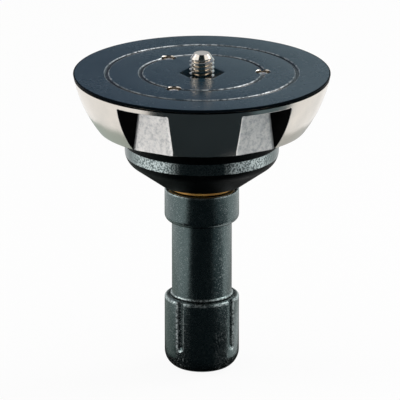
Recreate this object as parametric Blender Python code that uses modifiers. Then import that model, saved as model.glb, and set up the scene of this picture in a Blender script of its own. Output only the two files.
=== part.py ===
"""Half ball adapter for a 100 mm tripod bowl, with its clamp cup and screw handle.

Metres, +Z up the main axis, origin at the middle of the grip's flat foot, front towards -Y.
Pieces that rest on or run in each other keep the two named clearances.
"""

import bpy
import bmesh
from math import acos, asin, cos, degrees, pi, radians, sin, sqrt, tan
from mathutils import Vector

MM = 0.001

# Clearances
SEAT_GAP = 0.3 * MM
FIT_GAP = 0.3 * MM

# Half ball
BALL_RADIUS = 50.0 * MM
CENTRE_ABOVE_PLATE = 9.0 * MM
BALL_HEIGHT = 20.3 * MM
BALL_DECK = 8.2 * MM
BALL_EDGE = 0.4 * MM
BAY_RADIUS = 34.0 * MM
BAY_FILLET = 2.0 * MM
HUB_RADIUS = 13.0 * MM
HUB_RECESS = 3.0 * MM
HUB_RECESS_RADIUS = 14.5 * MM
RIB_COUNT = 6
RIB_WIDTH = 4.0 * MM
FIRST_RIB_ANGLE = 35.0

# Finger pockets in the ball's side
POCKET_ANGLES = (-120.0, -60.0, 60.0, 120.0)
POCKET_TURN = 1.5
POCKET_FLOOR = 38.5 * MM
POCKET_HALF_TOP = 6.3 * MM
POCKET_HALF_BASE = 8.6 * MM
POCKET_FLARE = 28.0
POCKET_CEILING = 2.9 * MM
POCKET_DRAFT = 4.0
POCKET_FILLET = 1.7 * MM

# Top plate
PLATE_RIM = 1.0 * MM
PLATE_THICKNESS = 3.5 * MM
SPIGOT_RADIUS = 35.0 * MM
PLATE_CHAMFER = 0.35 * MM
GROOVE_RADII = (23.4 * MM, 36.4 * MM)
GROOVE_WIDTH = 2.0 * MM
GROOVE_DEPTH = 0.6 * MM

# Tie rod, with the 3/8 inch stud at its top
STUD_RADIUS = 9.525 / 2 * MM
STUD_HEIGHT = 7.8 * MM
STUD_TIP_RADIUS = 2.9 * MM
STUD_CONE = 2.6 * MM
HEX_FLATS = 14.3 * MM
HEX_HEIGHT = 5.2 * MM
HEX_SINK = 2.5 * MM
HEX_CHAMFER_ANGLE = 30.0
HEX_CHAMFER_START = 0.3
HEX_TURN = 2.0
ROD_RADIUS = 6.0 * MM
ROD_PITCH = 1.75 * MM
ROD_CHAMFER = 0.8 * MM
ROD_NUT_FLATS = 19.0 * MM
ROD_NUT_HEIGHT = 6.0 * MM
ROD_WASHER_RADIUS = 12.0 * MM
ROD_WASHER_THICKNESS = 2.0 * MM

# Set screws, on the plate's inner groove
SET_SCREW_ANGLES = (3.0, 123.0, 243.0)
SET_SCREW_CIRCLE = GROOVE_RADII[0]
SET_SCREW_RADIUS = 2.5 * MM
SET_SCREW_LENGTH = 8.0 * MM
SET_SCREW_SINK = 0.6 * MM
SET_SCREW_POINT_RADIUS = 1.75 * MM
SET_SCREW_POINT_LENGTH = 1.3 * MM
SET_SCREW_KEY = 2.5 * MM
SET_SCREW_KEY_DEPTH = 2.6 * MM

# Plate screws
PLATE_SCREW_ANGLES = (65.0, 185.0, 305.0)
PLATE_SCREW_CIRCLE = 28.0 * MM
PLATE_SCREW_RADIUS = 2.0 * MM
PLATE_SCREW_HEAD_RADIUS = 3.5 * MM
PLATE_SCREW_HEAD = 2.6 * MM
PLATE_SCREW_BITE = 2.0 * MM
PLATE_SCREW_KEY = 2.5 * MM
SCREW_CHAMFER = 0.4 * MM

# Clamp cup
CUP_RADIUS = 29.5 * MM
CUP_HEIGHT = 21.6 * MM
CUP_BAND = 12.0 * MM
CUP_CONE_ANGLE = 36.0
CUP_CORNER = 6.5 * MM
CUP_EDGE = 0.5 * MM
CUP_WALL = 3.2 * MM
CUP_FLOOR = 4.5 * MM
CUP_BOSS_RADIUS = 11.5 * MM
CUP_BOSS_HEIGHT = 12.0 * MM
CUP_RIB_COUNT = 4
CUP_RIB_WIDTH = 2.6 * MM
CUP_RIB_RISE = 1.4 * MM
FIRST_CUP_RIB_ANGLE = 45.0
BUSH_WALL = 1.8 * MM
BUSH_RECESS = 0.5 * MM
WASHER_RADIUS = 12.6 * MM
WASHER_THICKNESS = 1.8 * MM
WASHER_CHAMFER = 0.25 * MM

# Handle
COLLAR_RADIUS = 14.3 * MM
COLLAR_LENGTH = 12.85 * MM
COLLAR_CHAMFER = 0.5 * MM
COLLAR_FOOT = 2.6 * MM
COLLAR_CROWN = 2.4 * MM
COLLAR_HOLE_PLAY = 1.0 * MM
NUT_FLATS = 19.0 * MM
NUT_FLANGE = 5.0 * MM
NUT_SLEEVE = 8.0 * MM
STEM_RADIUS = 11.5 * MM
STEM_BORE = 8.0 * MM
STEM_BORE_SPARE = 1.0 * MM
STEM_SHOWING = 30.05 * MM
STEM_BEAD = 0.6 * MM
STEM_CHAMFER = 0.4 * MM
GRIP_RADIUS = 14.3 * MM
GRIP_LENGTH = 29.2 * MM
GRIP_FLOOR = 6.0 * MM
GRIP_EDGE = 0.7 * MM
GRIP_FOOT = 7.0 * MM
GRIP_GROOVE_COUNT = 4
FIRST_GRIP_GROOVE_ANGLE = -127.0
GRIP_GROOVE_RADIUS = 1.6 * MM
GRIP_GROOVE_DEPTH = 1.3 * MM
GRIP_GROOVE_LENGTH = 19.9 * MM
GRIP_SCREW_RADIUS = 2.5 * MM
GRIP_SCREW_HEAD_RADIUS = 4.4 * MM
GRIP_SCREW_HEAD = 2.6 * MM
GRIP_SCREW_RECESS = 0.4 * MM
GRIP_SCREW_BITE = 9.0 * MM
GRIP_SCREW_KEY = 3.0 * MM
STOP_WASHER_THICKNESS = 2.0 * MM
STOP_SCREW_RADIUS = 2.5 * MM
STOP_SCREW_HEAD_RADIUS = 4.4 * MM
STOP_SCREW_HEAD = 3.5 * MM
STOP_SCREW_BITE = 8.0 * MM
STOP_SCREW_KEY = 4.0 * MM
KEY_DEPTH = 1.6 * MM
TAPPING_SPARE = 1.0 * MM

# Handle travel along the rod, in full turns
HANDLE_TURNS = 11

# Facets of a full circle, and how far a cutter runs past the piece it cuts
FINE_COUNT = 60
MEDIUM_COUNT = 36
PLAIN_COUNT = 24
SMALL_COUNT = 16
OVERRUN = 2.0 * MM

# Levels above the grip's foot, from the bottom up
COLLAR_BOTTOM = GRIP_LENGTH + STEM_SHOWING
COLLAR_TOP = COLLAR_BOTTOM + COLLAR_LENGTH
WASHER_BOTTOM = COLLAR_TOP + SEAT_GAP
CUP_BOTTOM = WASHER_BOTTOM + WASHER_THICKNESS + SEAT_GAP
BALL_BOTTOM = CUP_BOTTOM + CUP_HEIGHT + SEAT_GAP
BALL_TOP = BALL_BOTTOM + BALL_HEIGHT
PLATE_TOP = BALL_TOP + SEAT_GAP + PLATE_RIM
BALL_CENTRE = PLATE_TOP + CENTRE_ABOVE_PLATE
DECK_TOP = PLATE_TOP - PLATE_THICKNESS - SEAT_GAP
DECK_UNDERSIDE = DECK_TOP - BALL_DECK
HUB_BOTTOM = BALL_BOTTOM + HUB_RECESS
HEX_BOTTOM = PLATE_TOP - HEX_SINK - HEX_HEIGHT
NUT_TOP = COLLAR_TOP - COLLAR_CROWN - SEAT_GAP
NUT_SHOULDER = NUT_TOP - NUT_FLANGE
NUT_BOTTOM = NUT_SHOULDER - NUT_SLEEVE
STEM_TOP = NUT_SHOULDER - SEAT_GAP
STEM_BOTTOM = GRIP_FLOOR + SEAT_GAP
HANDLE_TRAVEL = HANDLE_TURNS * ROD_PITCH
ROD_BOTTOM = NUT_BOTTOM - HANDLE_TRAVEL - SEAT_GAP
STOP_WASHER_TOP = ROD_BOTTOM - SEAT_GAP
STOP_SCREW_SEAT = STOP_WASHER_TOP - STOP_WASHER_THICKNESS - SEAT_GAP
STEM_BORE_BOTTOM = STOP_SCREW_SEAT - STOP_SCREW_HEAD - STEM_BORE_SPARE

# Colour, roughness and metallic value of each finish
SATIN_ALLOY = ((0.60, 0.58, 0.53), 0.34, 1.0)
DARK_PLATE = ((0.065, 0.090, 0.125), 0.38, 0.6)
NICKEL = ((0.72, 0.68, 0.60), 0.20, 1.0)
ZINC = ((0.55, 0.56, 0.58), 0.35, 1.0)
BRASS = ((0.80, 0.50, 0.18), 0.28, 1.0)
BLACK_MOULDING = ((0.014, 0.017, 0.018), 0.45, 0.0)
BLACK_COATING = ((0.016, 0.019, 0.020), 0.40, 0.0)

COLLECTIONS = {}


def clear_scene():
    """Empty the scene and make one collection for the pieces and one for the cutters."""
    for obj in list(bpy.data.objects):
        bpy.data.objects.remove(obj, do_unlink=True)
    for key, name in (("pieces", "half_ball_adapter"), ("cutters", "cutters")):
        COLLECTIONS[key] = bpy.data.collections.new(name)
        bpy.context.scene.collection.children.link(COLLECTIONS[key])


def new_object(name, mesh, role="pieces"):
    obj = bpy.data.objects.new(name, mesh)
    COLLECTIONS[role].objects.link(obj)
    return obj


def evaluated_mesh(obj):
    """A plain mesh of the object as its modifiers leave it."""
    depsgraph = bpy.context.evaluated_depsgraph_get()
    return bpy.data.meshes.new_from_object(obj.evaluated_get(depsgraph))


def sphere_radius(level):
    """The half ball's outer radius at a level above the grip's foot."""
    return sqrt(BALL_RADIUS ** 2 - (BALL_CENTRE - level) ** 2)


def arc(centre_r, centre_z, radius, start, end, steps):
    """Profile points on an arc, from one angle in degrees to another."""
    points = []
    for i in range(steps + 1):
        angle = radians(start + (end - start) * i / steps)
        points.append((centre_r + radius * cos(angle), centre_z + radius * sin(angle)))
    return points


def turned(name, profile, facets, role="pieces", ring=False):
    """A turned body: a profile of (radius, height) points swept round Z.

    The profile runs down the outer side. A ring closes back to its first point, and any
    other profile starts and ends on the axis.
    """
    points = [profile[0]]
    for point in profile[1:]:
        if (Vector(point) - Vector(points[-1])).length > 0.001 * MM:
            points.append(point)
    edges = [(i, i + 1) for i in range(len(points) - 1)]
    if ring:
        edges.append((len(points) - 1, 0))
    mesh = bpy.data.meshes.new(name)
    mesh.from_pydata([(r, 0.0, z) for r, z in points], edges, [])
    obj = new_object(name, mesh, role)
    screw = obj.modifiers.new("Turn", "SCREW")
    screw.axis = "Z"
    screw.angle = 2 * pi
    screw.steps = facets
    screw.render_steps = facets
    screw.use_merge_vertices = True
    screw.merge_threshold = 0.001 * MM
    return obj


def prism(name, sides, radius, bottom, top, x=0.0, y=0.0):
    """An upright cutter with a regular outline, such as a drill."""
    mesh = bpy.data.meshes.new(name)
    bm = bmesh.new()
    bmesh.ops.create_cone(bm, cap_ends=True, segments=sides, radius1=radius,
                          radius2=radius, depth=top - bottom)
    bm.to_mesh(mesh)
    bm.free()
    obj = new_object(name, mesh, "cutters")
    obj.location = (x, y, (bottom + top) / 2)
    return obj


def extruded(name, outline, thickness):
    """A flat outline in X and Y, given a thickness about its own plane."""
    curve = bpy.data.curves.new(name, "CURVE")
    curve.dimensions = "2D"
    curve.fill_mode = "BOTH"
    curve.extrude = thickness / 2
    spline = curve.splines.new("POLY")
    spline.points.add(len(outline) - 1)
    for point, (x, y) in zip(spline.points, outline):
        point.co = (x, y, 0.0, 1.0)
    spline.use_cyclic_u = True
    flat = new_object(name + "_outline", curve, "cutters")
    mesh = evaluated_mesh(flat)
    bm = bmesh.new()
    bm.from_mesh(mesh)
    bmesh.ops.remove_doubles(bm, verts=bm.verts, dist=0.001 * MM)
    bmesh.ops.recalc_face_normals(bm, faces=bm.faces)
    bm.to_mesh(mesh)
    bm.free()
    obj = new_object(name, mesh, "cutters")
    obj.matrix_world = flat.matrix_world
    bpy.data.objects.remove(flat, do_unlink=True)
    return obj


def hexagon(name, flats, bottom, top):
    """A hexagon bar; every hexagon on the main axis stands at the same turn."""
    bar = prism(name, 6, corner_radius(flats), bottom, top)
    bar.rotation_euler.z = radians(HEX_TURN)
    return bar


def hex_crown(flats, top):
    """Profile points of the cone that breaks a hexagon's corners below its top face."""
    inner = flats / 2
    corner = corner_radius(flats)
    start = inner + (corner - inner) * HEX_CHAMFER_START
    end = corner + FIT_GAP
    return [(start, top), (end, top - (end - start) * tan(radians(HEX_CHAMFER_ANGLE)))]


def hex_heel(flats, bottom):
    """The same cone at the hexagon's lower face, in the order that a profile runs."""
    return [(r, 2 * bottom - z) for r, z in reversed(hex_crown(flats, bottom))]


def combine(obj, tool, operation="DIFFERENCE"):
    """Cut the piece with a tool, join the tool to it, or keep only what both share."""
    boolean = obj.modifiers.new(tool.name, "BOOLEAN")
    boolean.operation = operation
    boolean.object = tool
    boolean.solver = "EXACT"
    tool.parent = obj
    tool.hide_render = True
    tool.display_type = "WIRE"


def rounded(obj, radius, segments):
    bevel = obj.modifiers.new("Fillet", "BEVEL")
    bevel.width = radius
    bevel.segments = segments
    bevel.limit_method = "ANGLE"
    bevel.angle_limit = radians(35.0)


def polar(radius, angle):
    return radius * cos(radians(angle)), radius * sin(radians(angle))


def corner_radius(flats):
    """Radius through the corners of a hexagon with this width across its flats."""
    return flats / 2 / cos(radians(30.0))


def finish(obj, look, parent, level, x=0.0, y=0.0):
    """Settle the modifiers, shade round faces smooth, colour the piece and put it in place."""
    rough_mesh = obj.data
    mesh = evaluated_mesh(obj)
    obj.modifiers.clear()
    obj.data = mesh
    bpy.data.meshes.remove(rough_mesh)
    mesh.name = obj.name
    mesh.shade_smooth()
    mesh.set_sharp_from_angle(angle=radians(30.0))
    colour, roughness, metallic = look
    material = bpy.data.materials.new(obj.name)
    material.use_nodes = True
    shader = material.node_tree.nodes["Principled BSDF"]
    shader.inputs["Base Color"].default_value = (*colour, 1.0)
    shader.inputs["Roughness"].default_value = roughness
    shader.inputs["Metallic"].default_value = metallic
    mesh.materials.clear()
    mesh.materials.append(material)
    obj.parent = parent
    obj.location = Vector((x, y, level)) - group_level(parent)
    return obj


def group_level(parent):
    """Where a group's empty stands; every group is upright on the main axis."""
    place = Vector((0.0, 0.0, 0.0))
    while parent is not None:
        place += parent.location
        parent = parent.parent
    return place


def group(name, level, parent=None):
    """An empty on the main axis that carries the pieces of one moving body."""
    empty = bpy.data.objects.new(name, None)
    COLLECTIONS["pieces"].objects.link(empty)
    empty.empty_display_size = 10.0 * MM
    empty.location = Vector((0.0, 0.0, level)) - group_level(parent)
    empty.parent = parent
    return empty


def washer(name, inner, outer, thickness, edge=0.0):
    """A flat ring standing on its own level, with its outer edges broken if asked for."""
    profile = [(inner, thickness), (outer - edge, thickness), (outer, thickness - edge),
               (outer, edge), (outer - edge, 0.0), (inner, 0.0)]
    return turned(name, profile, MEDIUM_COUNT if edge else PLAIN_COUNT, ring=True)


def cap_screw(name, radius, length, head_radius, head, key):
    """A socket screw, head down: its head's seat is at its own level, its shank above it."""
    edge = SCREW_CHAMFER
    profile = [(0.0, length), (radius - edge, length), (radius, length - edge), (radius, 0.0),
               (head_radius, 0.0), (head_radius, edge - head), (head_radius - edge, -head),
               (0.0, -head)]
    obj = turned(name, profile, SMALL_COUNT)
    combine(obj, hexagon(name + "_key", key, -head - OVERRUN, KEY_DEPTH - head))
    return obj


def bay_outline():
    """One bay between two ribs, seen from below, with its middle on +X."""
    half = 180.0 / RIB_COUNT
    points = []
    for radius, way, steps in ((BAY_RADIUS, 1, 8), (HUB_RADIUS, -1, 3)):
        reach = half - degrees(asin(RIB_WIDTH / 2 / radius))
        for i in range(steps + 1):
            points.append(polar(radius, way * reach * (2 * i / steps - 1)))
    return points


def bay_cutter(index):
    depth = DECK_UNDERSIDE - BALL_BOTTOM + OVERRUN + BAY_FILLET
    cutter = extruded(f"bay_{index}", bay_outline(), depth)
    cutter.location.z = DECK_UNDERSIDE - BALL_BOTTOM - depth / 2
    cutter.rotation_euler.z = radians(FIRST_RIB_ANGLE + 360.0 / RIB_COUNT * (index - 0.5))
    rounded(cutter, BAY_FILLET, 2)
    return cutter


def pocket_cutter(index, angle):
    """A flared block, its inner face the pocket's flat floor, on +X before it is turned."""
    roof = BALL_HEIGHT - POCKET_CEILING
    foot = -OVERRUN - POCKET_FILLET
    reach = BALL_RADIUS + OVERRUN + POCKET_FILLET - POCKET_FLOOR
    widening = (POCKET_HALF_BASE - POCKET_HALF_TOP) / roof
    mesh = bpy.data.meshes.new("pocket")
    bm = bmesh.new()
    bmesh.ops.create_cube(bm, size=2.0)
    for vert in bm.verts:
        out = reach if vert.co.x > 0 else 0.0
        z = roof + out * tan(radians(POCKET_DRAFT)) if vert.co.z > 0 else foot
        level = roof if vert.co.z > 0 else foot
        half = POCKET_HALF_TOP + widening * (roof - level) + out * tan(radians(POCKET_FLARE))
        vert.co = (POCKET_FLOOR + out, half if vert.co.y > 0 else -half, z)
    bm.to_mesh(mesh)
    bm.free()
    cutter = new_object(f"pocket_{index}", mesh, "cutters")
    cutter.rotation_euler.z = radians(angle + POCKET_TURN)
    rounded(cutter, POCKET_FILLET, 3)
    return cutter


def half_ball(parent):
    """The cast ball: a truncated sphere, hollow below between ribs, with pockets outside."""
    bore = ROD_RADIUS + FIT_GAP
    counterbore = corner_radius(HEX_FLATS) + FIT_GAP
    recess = SPIGOT_RADIUS + FIT_GAP
    hex_seat = HEX_BOTTOM - SEAT_GAP - BALL_BOTTOM
    deck = DECK_TOP - BALL_BOTTOM
    centre = BALL_CENTRE - BALL_BOTTOM
    rim_angle = degrees(asin((centre - BALL_HEIGHT + BALL_EDGE) / BALL_RADIUS))
    base_angle = degrees(asin((centre - BALL_EDGE) / BALL_RADIUS))
    profile = [(bore, hex_seat), (counterbore, hex_seat), (counterbore, deck), (recess, deck),
               (recess, BALL_HEIGHT), (sphere_radius(BALL_TOP) - BALL_EDGE, BALL_HEIGHT)]
    profile += arc(0.0, centre, BALL_RADIUS, -rim_angle, -base_angle, 7)
    profile += [(sphere_radius(BALL_BOTTOM) - BALL_EDGE, 0.0), (HUB_RECESS_RADIUS, 0.0),
                (HUB_RECESS_RADIUS, HUB_RECESS), (bore, HUB_RECESS)]
    ball = turned("half_ball", profile, FINE_COUNT, ring=True)
    for index in range(RIB_COUNT):
        combine(ball, bay_cutter(index + 1))
    for index, angle in enumerate(POCKET_ANGLES):
        combine(ball, pocket_cutter(index + 1, angle))
    drill(ball, "set_screw_drill", SET_SCREW_ANGLES, SET_SCREW_CIRCLE, SET_SCREW_RADIUS,
          DECK_UNDERSIDE - BALL_BOTTOM - OVERRUN, deck + OVERRUN)
    drill(ball, "plate_screw_drill", PLATE_SCREW_ANGLES, PLATE_SCREW_CIRCLE,
          PLATE_SCREW_RADIUS, DECK_UNDERSIDE - BALL_BOTTOM - OVERRUN, deck + OVERRUN)
    return finish(ball, SATIN_ALLOY, parent, BALL_BOTTOM)


def drill(obj, name, angles, circle, radius, bottom, top):
    """Drill a hole with running clearance at each angle round the axis."""
    for index, angle in enumerate(angles):
        x, y = polar(circle, angle)
        hole = prism(f"{obj.name}_{name}_{index + 1}", SMALL_COUNT, radius + FIT_GAP,
                     bottom, top, x, y)
        combine(obj, hole)


def top_plate(parent):
    """The turned plate: a thin rim over the ball and a thicker spigot let into it.

    Its middle hole is a hexagon that keeps the tie rod from turning.
    """
    top_radius = sphere_radius(PLATE_TOP)
    bore = HEX_FLATS / 2
    profile = [(bore, 0.0)]
    for radius in GROOVE_RADII:
        profile += [(radius - GROOVE_WIDTH / 2, 0.0), (radius, -GROOVE_DEPTH),
                    (radius + GROOVE_WIDTH / 2, 0.0)]
    profile += [(top_radius - PLATE_CHAMFER, 0.0), (top_radius, -PLATE_CHAMFER),
                (sphere_radius(PLATE_TOP - PLATE_RIM), -PLATE_RIM), (SPIGOT_RADIUS, -PLATE_RIM),
                (SPIGOT_RADIUS, -PLATE_THICKNESS), (bore, -PLATE_THICKNESS)]
    plate = turned("top_plate", profile, FINE_COUNT, ring=True)
    below = -PLATE_THICKNESS - OVERRUN
    combine(plate, hexagon("rod_hexagon", HEX_FLATS + 2 * FIT_GAP, below, OVERRUN))
    drill(plate, "set_screw_drill", SET_SCREW_ANGLES, SET_SCREW_CIRCLE, SET_SCREW_RADIUS,
          below, OVERRUN)
    drill(plate, "plate_screw_drill", PLATE_SCREW_ANGLES, PLATE_SCREW_CIRCLE,
          PLATE_SCREW_RADIUS, below, PLATE_SCREW_BITE + SEAT_GAP - PLATE_THICKNESS)
    return finish(plate, DARK_PLATE, parent, PLATE_TOP)


def tie_rod(parent):
    """One steel piece: the camera stud, a hexagon collar and the rod that the handle runs on."""
    hex_top = -HEX_SINK
    hex_bottom = hex_top - HEX_HEIGHT
    end = ROD_BOTTOM - PLATE_TOP
    tapping = STOP_SCREW_RADIUS + FIT_GAP
    tapping_end = end + STOP_SCREW_BITE + TAPPING_SPARE
    profile = [(0.0, STUD_HEIGHT), (STUD_TIP_RADIUS, STUD_HEIGHT),
               (STUD_RADIUS, STUD_HEIGHT - STUD_CONE), (STUD_RADIUS, hex_top)]
    profile += hex_crown(HEX_FLATS, hex_top)
    profile += [(profile[-1][0], hex_bottom), (ROD_RADIUS, hex_bottom),
                (ROD_RADIUS, end + ROD_CHAMFER), (ROD_RADIUS - ROD_CHAMFER, end),
                (tapping, end), (tapping, tapping_end), (0.0, tapping_end)]
    rod = turned("tie_rod", profile, PLAIN_COUNT)
    bar = hexagon("tie_rod_hexagon", HEX_FLATS, end - OVERRUN, STUD_HEIGHT + OVERRUN)
    combine(rod, bar, "INTERSECT")
    return finish(rod, NICKEL, parent, PLATE_TOP)


def hex_nut(name, flats, height, sleeve=0.0, sleeve_radius=None):
    """A hexagon nut on its own level, with a round sleeve below it if one is asked for."""
    bore = ROD_RADIUS + FIT_GAP
    edge = SCREW_CHAMFER
    profile = [(bore, height)] + hex_crown(flats, height) + hex_heel(flats, 0.0)
    if sleeve:
        profile += [(sleeve_radius, 0.0), (sleeve_radius, edge - sleeve),
                    (sleeve_radius - edge, -sleeve)]
    profile.append((bore, -sleeve))
    nut = turned(name, profile, PLAIN_COUNT, ring=True)
    bar = hexagon(name + "_hexagon", flats, -sleeve - OVERRUN, height + OVERRUN)
    combine(nut, bar, "INTERSECT")
    return nut


def rod_fixings(parent):
    """The washer and thin nut that pull the rod's hexagon down onto its seat in the ball."""
    washer_level = HUB_BOTTOM - SEAT_GAP - ROD_WASHER_THICKNESS
    ring = washer("tie_rod_washer", ROD_RADIUS + FIT_GAP, ROD_WASHER_RADIUS,
                  ROD_WASHER_THICKNESS)
    finish(ring, ZINC, parent, washer_level)
    nut = hex_nut("tie_rod_nut", ROD_NUT_FLATS, ROD_NUT_HEIGHT)
    finish(nut, ZINC, parent, washer_level - SEAT_GAP - ROD_NUT_HEIGHT)


def plate_screws(parent):
    seat = DECK_UNDERSIDE - SEAT_GAP
    length = PLATE_TOP - PLATE_THICKNESS + PLATE_SCREW_BITE - seat
    for index, angle in enumerate(PLATE_SCREW_ANGLES):
        screw = cap_screw(f"plate_screw_{index + 1}", PLATE_SCREW_RADIUS, length,
                          PLATE_SCREW_HEAD_RADIUS, PLATE_SCREW_HEAD, PLATE_SCREW_KEY)
        finish(screw, ZINC, parent, seat, *polar(PLATE_SCREW_CIRCLE, angle))


def set_screws(parent):
    """Grub screws, tips up, reached with a key from the bays; each lifts along its own axis."""
    edge = SCREW_CHAMFER
    shoulder = -SET_SCREW_POINT_LENGTH
    slope = SET_SCREW_RADIUS - SET_SCREW_POINT_RADIUS
    end = -SET_SCREW_LENGTH
    profile = [(0.0, 0.0), (SET_SCREW_POINT_RADIUS, 0.0), (SET_SCREW_POINT_RADIUS, shoulder),
               (SET_SCREW_RADIUS, shoulder - slope), (SET_SCREW_RADIUS, end + edge),
               (SET_SCREW_RADIUS - edge, end), (0.0, end)]
    for index, angle in enumerate(SET_SCREW_ANGLES):
        screw = turned(f"set_screw_{index + 1}", profile, SMALL_COUNT)
        combine(screw, hexagon(f"set_screw_key_{index + 1}", SET_SCREW_KEY, end - OVERRUN,
                               end + SET_SCREW_KEY_DEPTH))
        finish(screw, NICKEL, parent, PLATE_TOP - SET_SCREW_SINK,
               *polar(SET_SCREW_CIRCLE, angle))


def cone_level(radius):
    """Height of the cup's outer cone above the cup's foot at a radius."""
    return CUP_HEIGHT - CUP_BAND - (CUP_RADIUS - radius) * tan(radians(CUP_CONE_ANGLE))


def inner_cone_radius(level):
    """Radius of the cup's inner cone, one wall inside the outer one, at a height."""
    rise = CUP_WALL / cos(radians(CUP_CONE_ANGLE))
    fall = CUP_HEIGHT - CUP_BAND + rise - level
    return CUP_RADIUS - fall / tan(radians(CUP_CONE_ANGLE))


def corner_arc(wall_radius, corner_level, radius, steps):
    """Fillet between the upright wall and the cone that leaves it at the corner level."""
    turn = 90.0 - CUP_CONE_ANGLE
    start = corner_level + radius * tan(radians(turn / 2))
    return arc(wall_radius - radius, start, radius, 0.0, -turn, steps)


def clamp_cup(parent):
    """The moulded cup: an upright band over a cone, with a boss and low ribs inside."""
    slope = tan(radians(CUP_CONE_ANGLE))
    rise = CUP_WALL / cos(radians(CUP_CONE_ANGLE))
    inner = CUP_RADIUS - CUP_WALL
    bore = ROD_RADIUS + FIT_GAP + BUSH_WALL + FIT_GAP
    inner_corner = cone_level(inner) + rise
    floor_edge = inner_cone_radius(CUP_FLOOR)
    foot_radius = CUP_RADIUS - (CUP_HEIGHT - CUP_BAND) / slope
    profile = [(inner, CUP_HEIGHT), (CUP_RADIUS - CUP_EDGE, CUP_HEIGHT),
               (CUP_RADIUS, CUP_HEIGHT - CUP_EDGE)]
    profile += corner_arc(CUP_RADIUS, CUP_HEIGHT - CUP_BAND, CUP_CORNER, 4)
    profile += [(foot_radius + CUP_EDGE, CUP_EDGE * slope), (foot_radius - CUP_EDGE, 0.0),
                (bore, 0.0), (bore, CUP_BOSS_HEIGHT), (CUP_BOSS_RADIUS - CUP_EDGE, CUP_BOSS_HEIGHT),
                (CUP_BOSS_RADIUS, CUP_BOSS_HEIGHT - CUP_EDGE), (CUP_BOSS_RADIUS, CUP_FLOOR),
                (floor_edge, CUP_FLOOR)]
    inner_fillet = max(CUP_CORNER - CUP_WALL, CUP_EDGE)
    profile += reversed(corner_arc(inner, inner_corner, inner_fillet, 3))
    cup = turned("clamp_cup", profile, FINE_COUNT, ring=True)
    for index in range(CUP_RIB_COUNT):
        combine(cup, cup_rib(index + 1, inner, floor_edge), "UNION")
    return finish(cup, BLACK_MOULDING, parent, CUP_BOTTOM)


def cup_rib(index, inner, floor_edge):
    """A low web from the boss to the band, rooted half a wall deep in the cup's floor."""
    root = CUP_WALL / 2
    top = CUP_HEIGHT - CUP_BAND + CUP_RIB_RISE
    outline = [(CUP_BOSS_RADIUS - root, top), (CUP_BOSS_RADIUS - root, CUP_FLOOR - root),
               (floor_edge, CUP_FLOOR - root), (inner + root, cone_level(inner + root) + root),
               (inner + root, top)]
    rib = extruded(f"cup_rib_{index}", outline, CUP_RIB_WIDTH)
    angle = FIRST_CUP_RIB_ANGLE + 360.0 / CUP_RIB_COUNT * (index - 1)
    rib.rotation_euler = (radians(90.0), 0.0, radians(angle))
    return rib


def cup_bush(parent):
    inner = ROD_RADIUS + FIT_GAP
    length = CUP_BOSS_HEIGHT - 2 * BUSH_RECESS
    bush = washer("cup_bush", inner, inner + BUSH_WALL, length)
    return finish(bush, ZINC, parent, CUP_BOTTOM + BUSH_RECESS)


def thrust_washer(parent):
    ring = washer("thrust_washer", ROD_RADIUS + 2 * FIT_GAP, WASHER_RADIUS, WASHER_THICKNESS,
                  WASHER_CHAMFER)
    return finish(ring, BRASS, parent, WASHER_BOTTOM)


def foot_arc(radius, foot, socket, steps):
    """A rounded foot on a turned wall, which stops early where it meets the socket."""
    centre = radius - foot
    reach = degrees(acos(max(0.0, (socket - centre) / foot)))
    return arc(centre, foot, foot, 0.0, -reach, steps)


def handle_collar(parent):
    """Moulded collar: its crown traps the handle nut on the stem's end."""
    hole = ROD_RADIUS + COLLAR_HOLE_PLAY
    socket = STEM_RADIUS + FIT_GAP
    shoulder = NUT_SHOULDER - COLLAR_BOTTOM
    crown = COLLAR_LENGTH - COLLAR_CROWN
    profile = [(hole, COLLAR_LENGTH), (COLLAR_RADIUS - COLLAR_CHAMFER, COLLAR_LENGTH),
               (COLLAR_RADIUS, COLLAR_LENGTH - COLLAR_CHAMFER)]
    profile += foot_arc(COLLAR_RADIUS, COLLAR_FOOT, socket, 4)
    profile += [(socket, profile[-1][1]), (socket, shoulder), (hole, shoulder)]
    collar = turned("handle_collar", profile, MEDIUM_COUNT, ring=True)
    combine(collar, hexagon("nut_pocket", NUT_FLATS + 2 * FIT_GAP, shoulder - OVERRUN, crown))
    return finish(collar, BLACK_MOULDING, parent, COLLAR_BOTTOM)


def handle_nut(parent):
    """Flanged steel nut that runs on the tie rod, its sleeve down inside the stem."""
    nut = hex_nut("handle_nut", NUT_FLATS, NUT_FLANGE, NUT_SLEEVE, STEM_BORE - FIT_GAP)
    return finish(nut, ZINC, parent, NUT_SHOULDER)


def handle_stem(parent):
    """Coated bar, bored from the top for the rod and tapped below for the grip screw."""
    height = STEM_TOP - STEM_BOTTOM
    bore_bottom = STEM_BORE_BOTTOM - STEM_BOTTOM
    bead = GRIP_LENGTH + SEAT_GAP + STEM_BEAD - STEM_BOTTOM
    tapping = GRIP_SCREW_RADIUS + FIT_GAP
    tapping_end = GRIP_SCREW_BITE + TAPPING_SPARE
    profile = [(0.0, bore_bottom), (STEM_BORE, bore_bottom), (STEM_BORE, height),
               (STEM_RADIUS - STEM_CHAMFER, height), (STEM_RADIUS, height - STEM_CHAMFER)]
    profile += arc(STEM_RADIUS, bead, STEM_BEAD, 90.0, -90.0, 4)
    profile += [(STEM_RADIUS, STEM_CHAMFER), (STEM_RADIUS - STEM_CHAMFER, 0.0), (tapping, 0.0),
                (tapping, tapping_end), (0.0, tapping_end)]
    stem = turned("handle_stem", profile, MEDIUM_COUNT)
    return finish(stem, BLACK_COATING, parent, STEM_BOTTOM)


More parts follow.
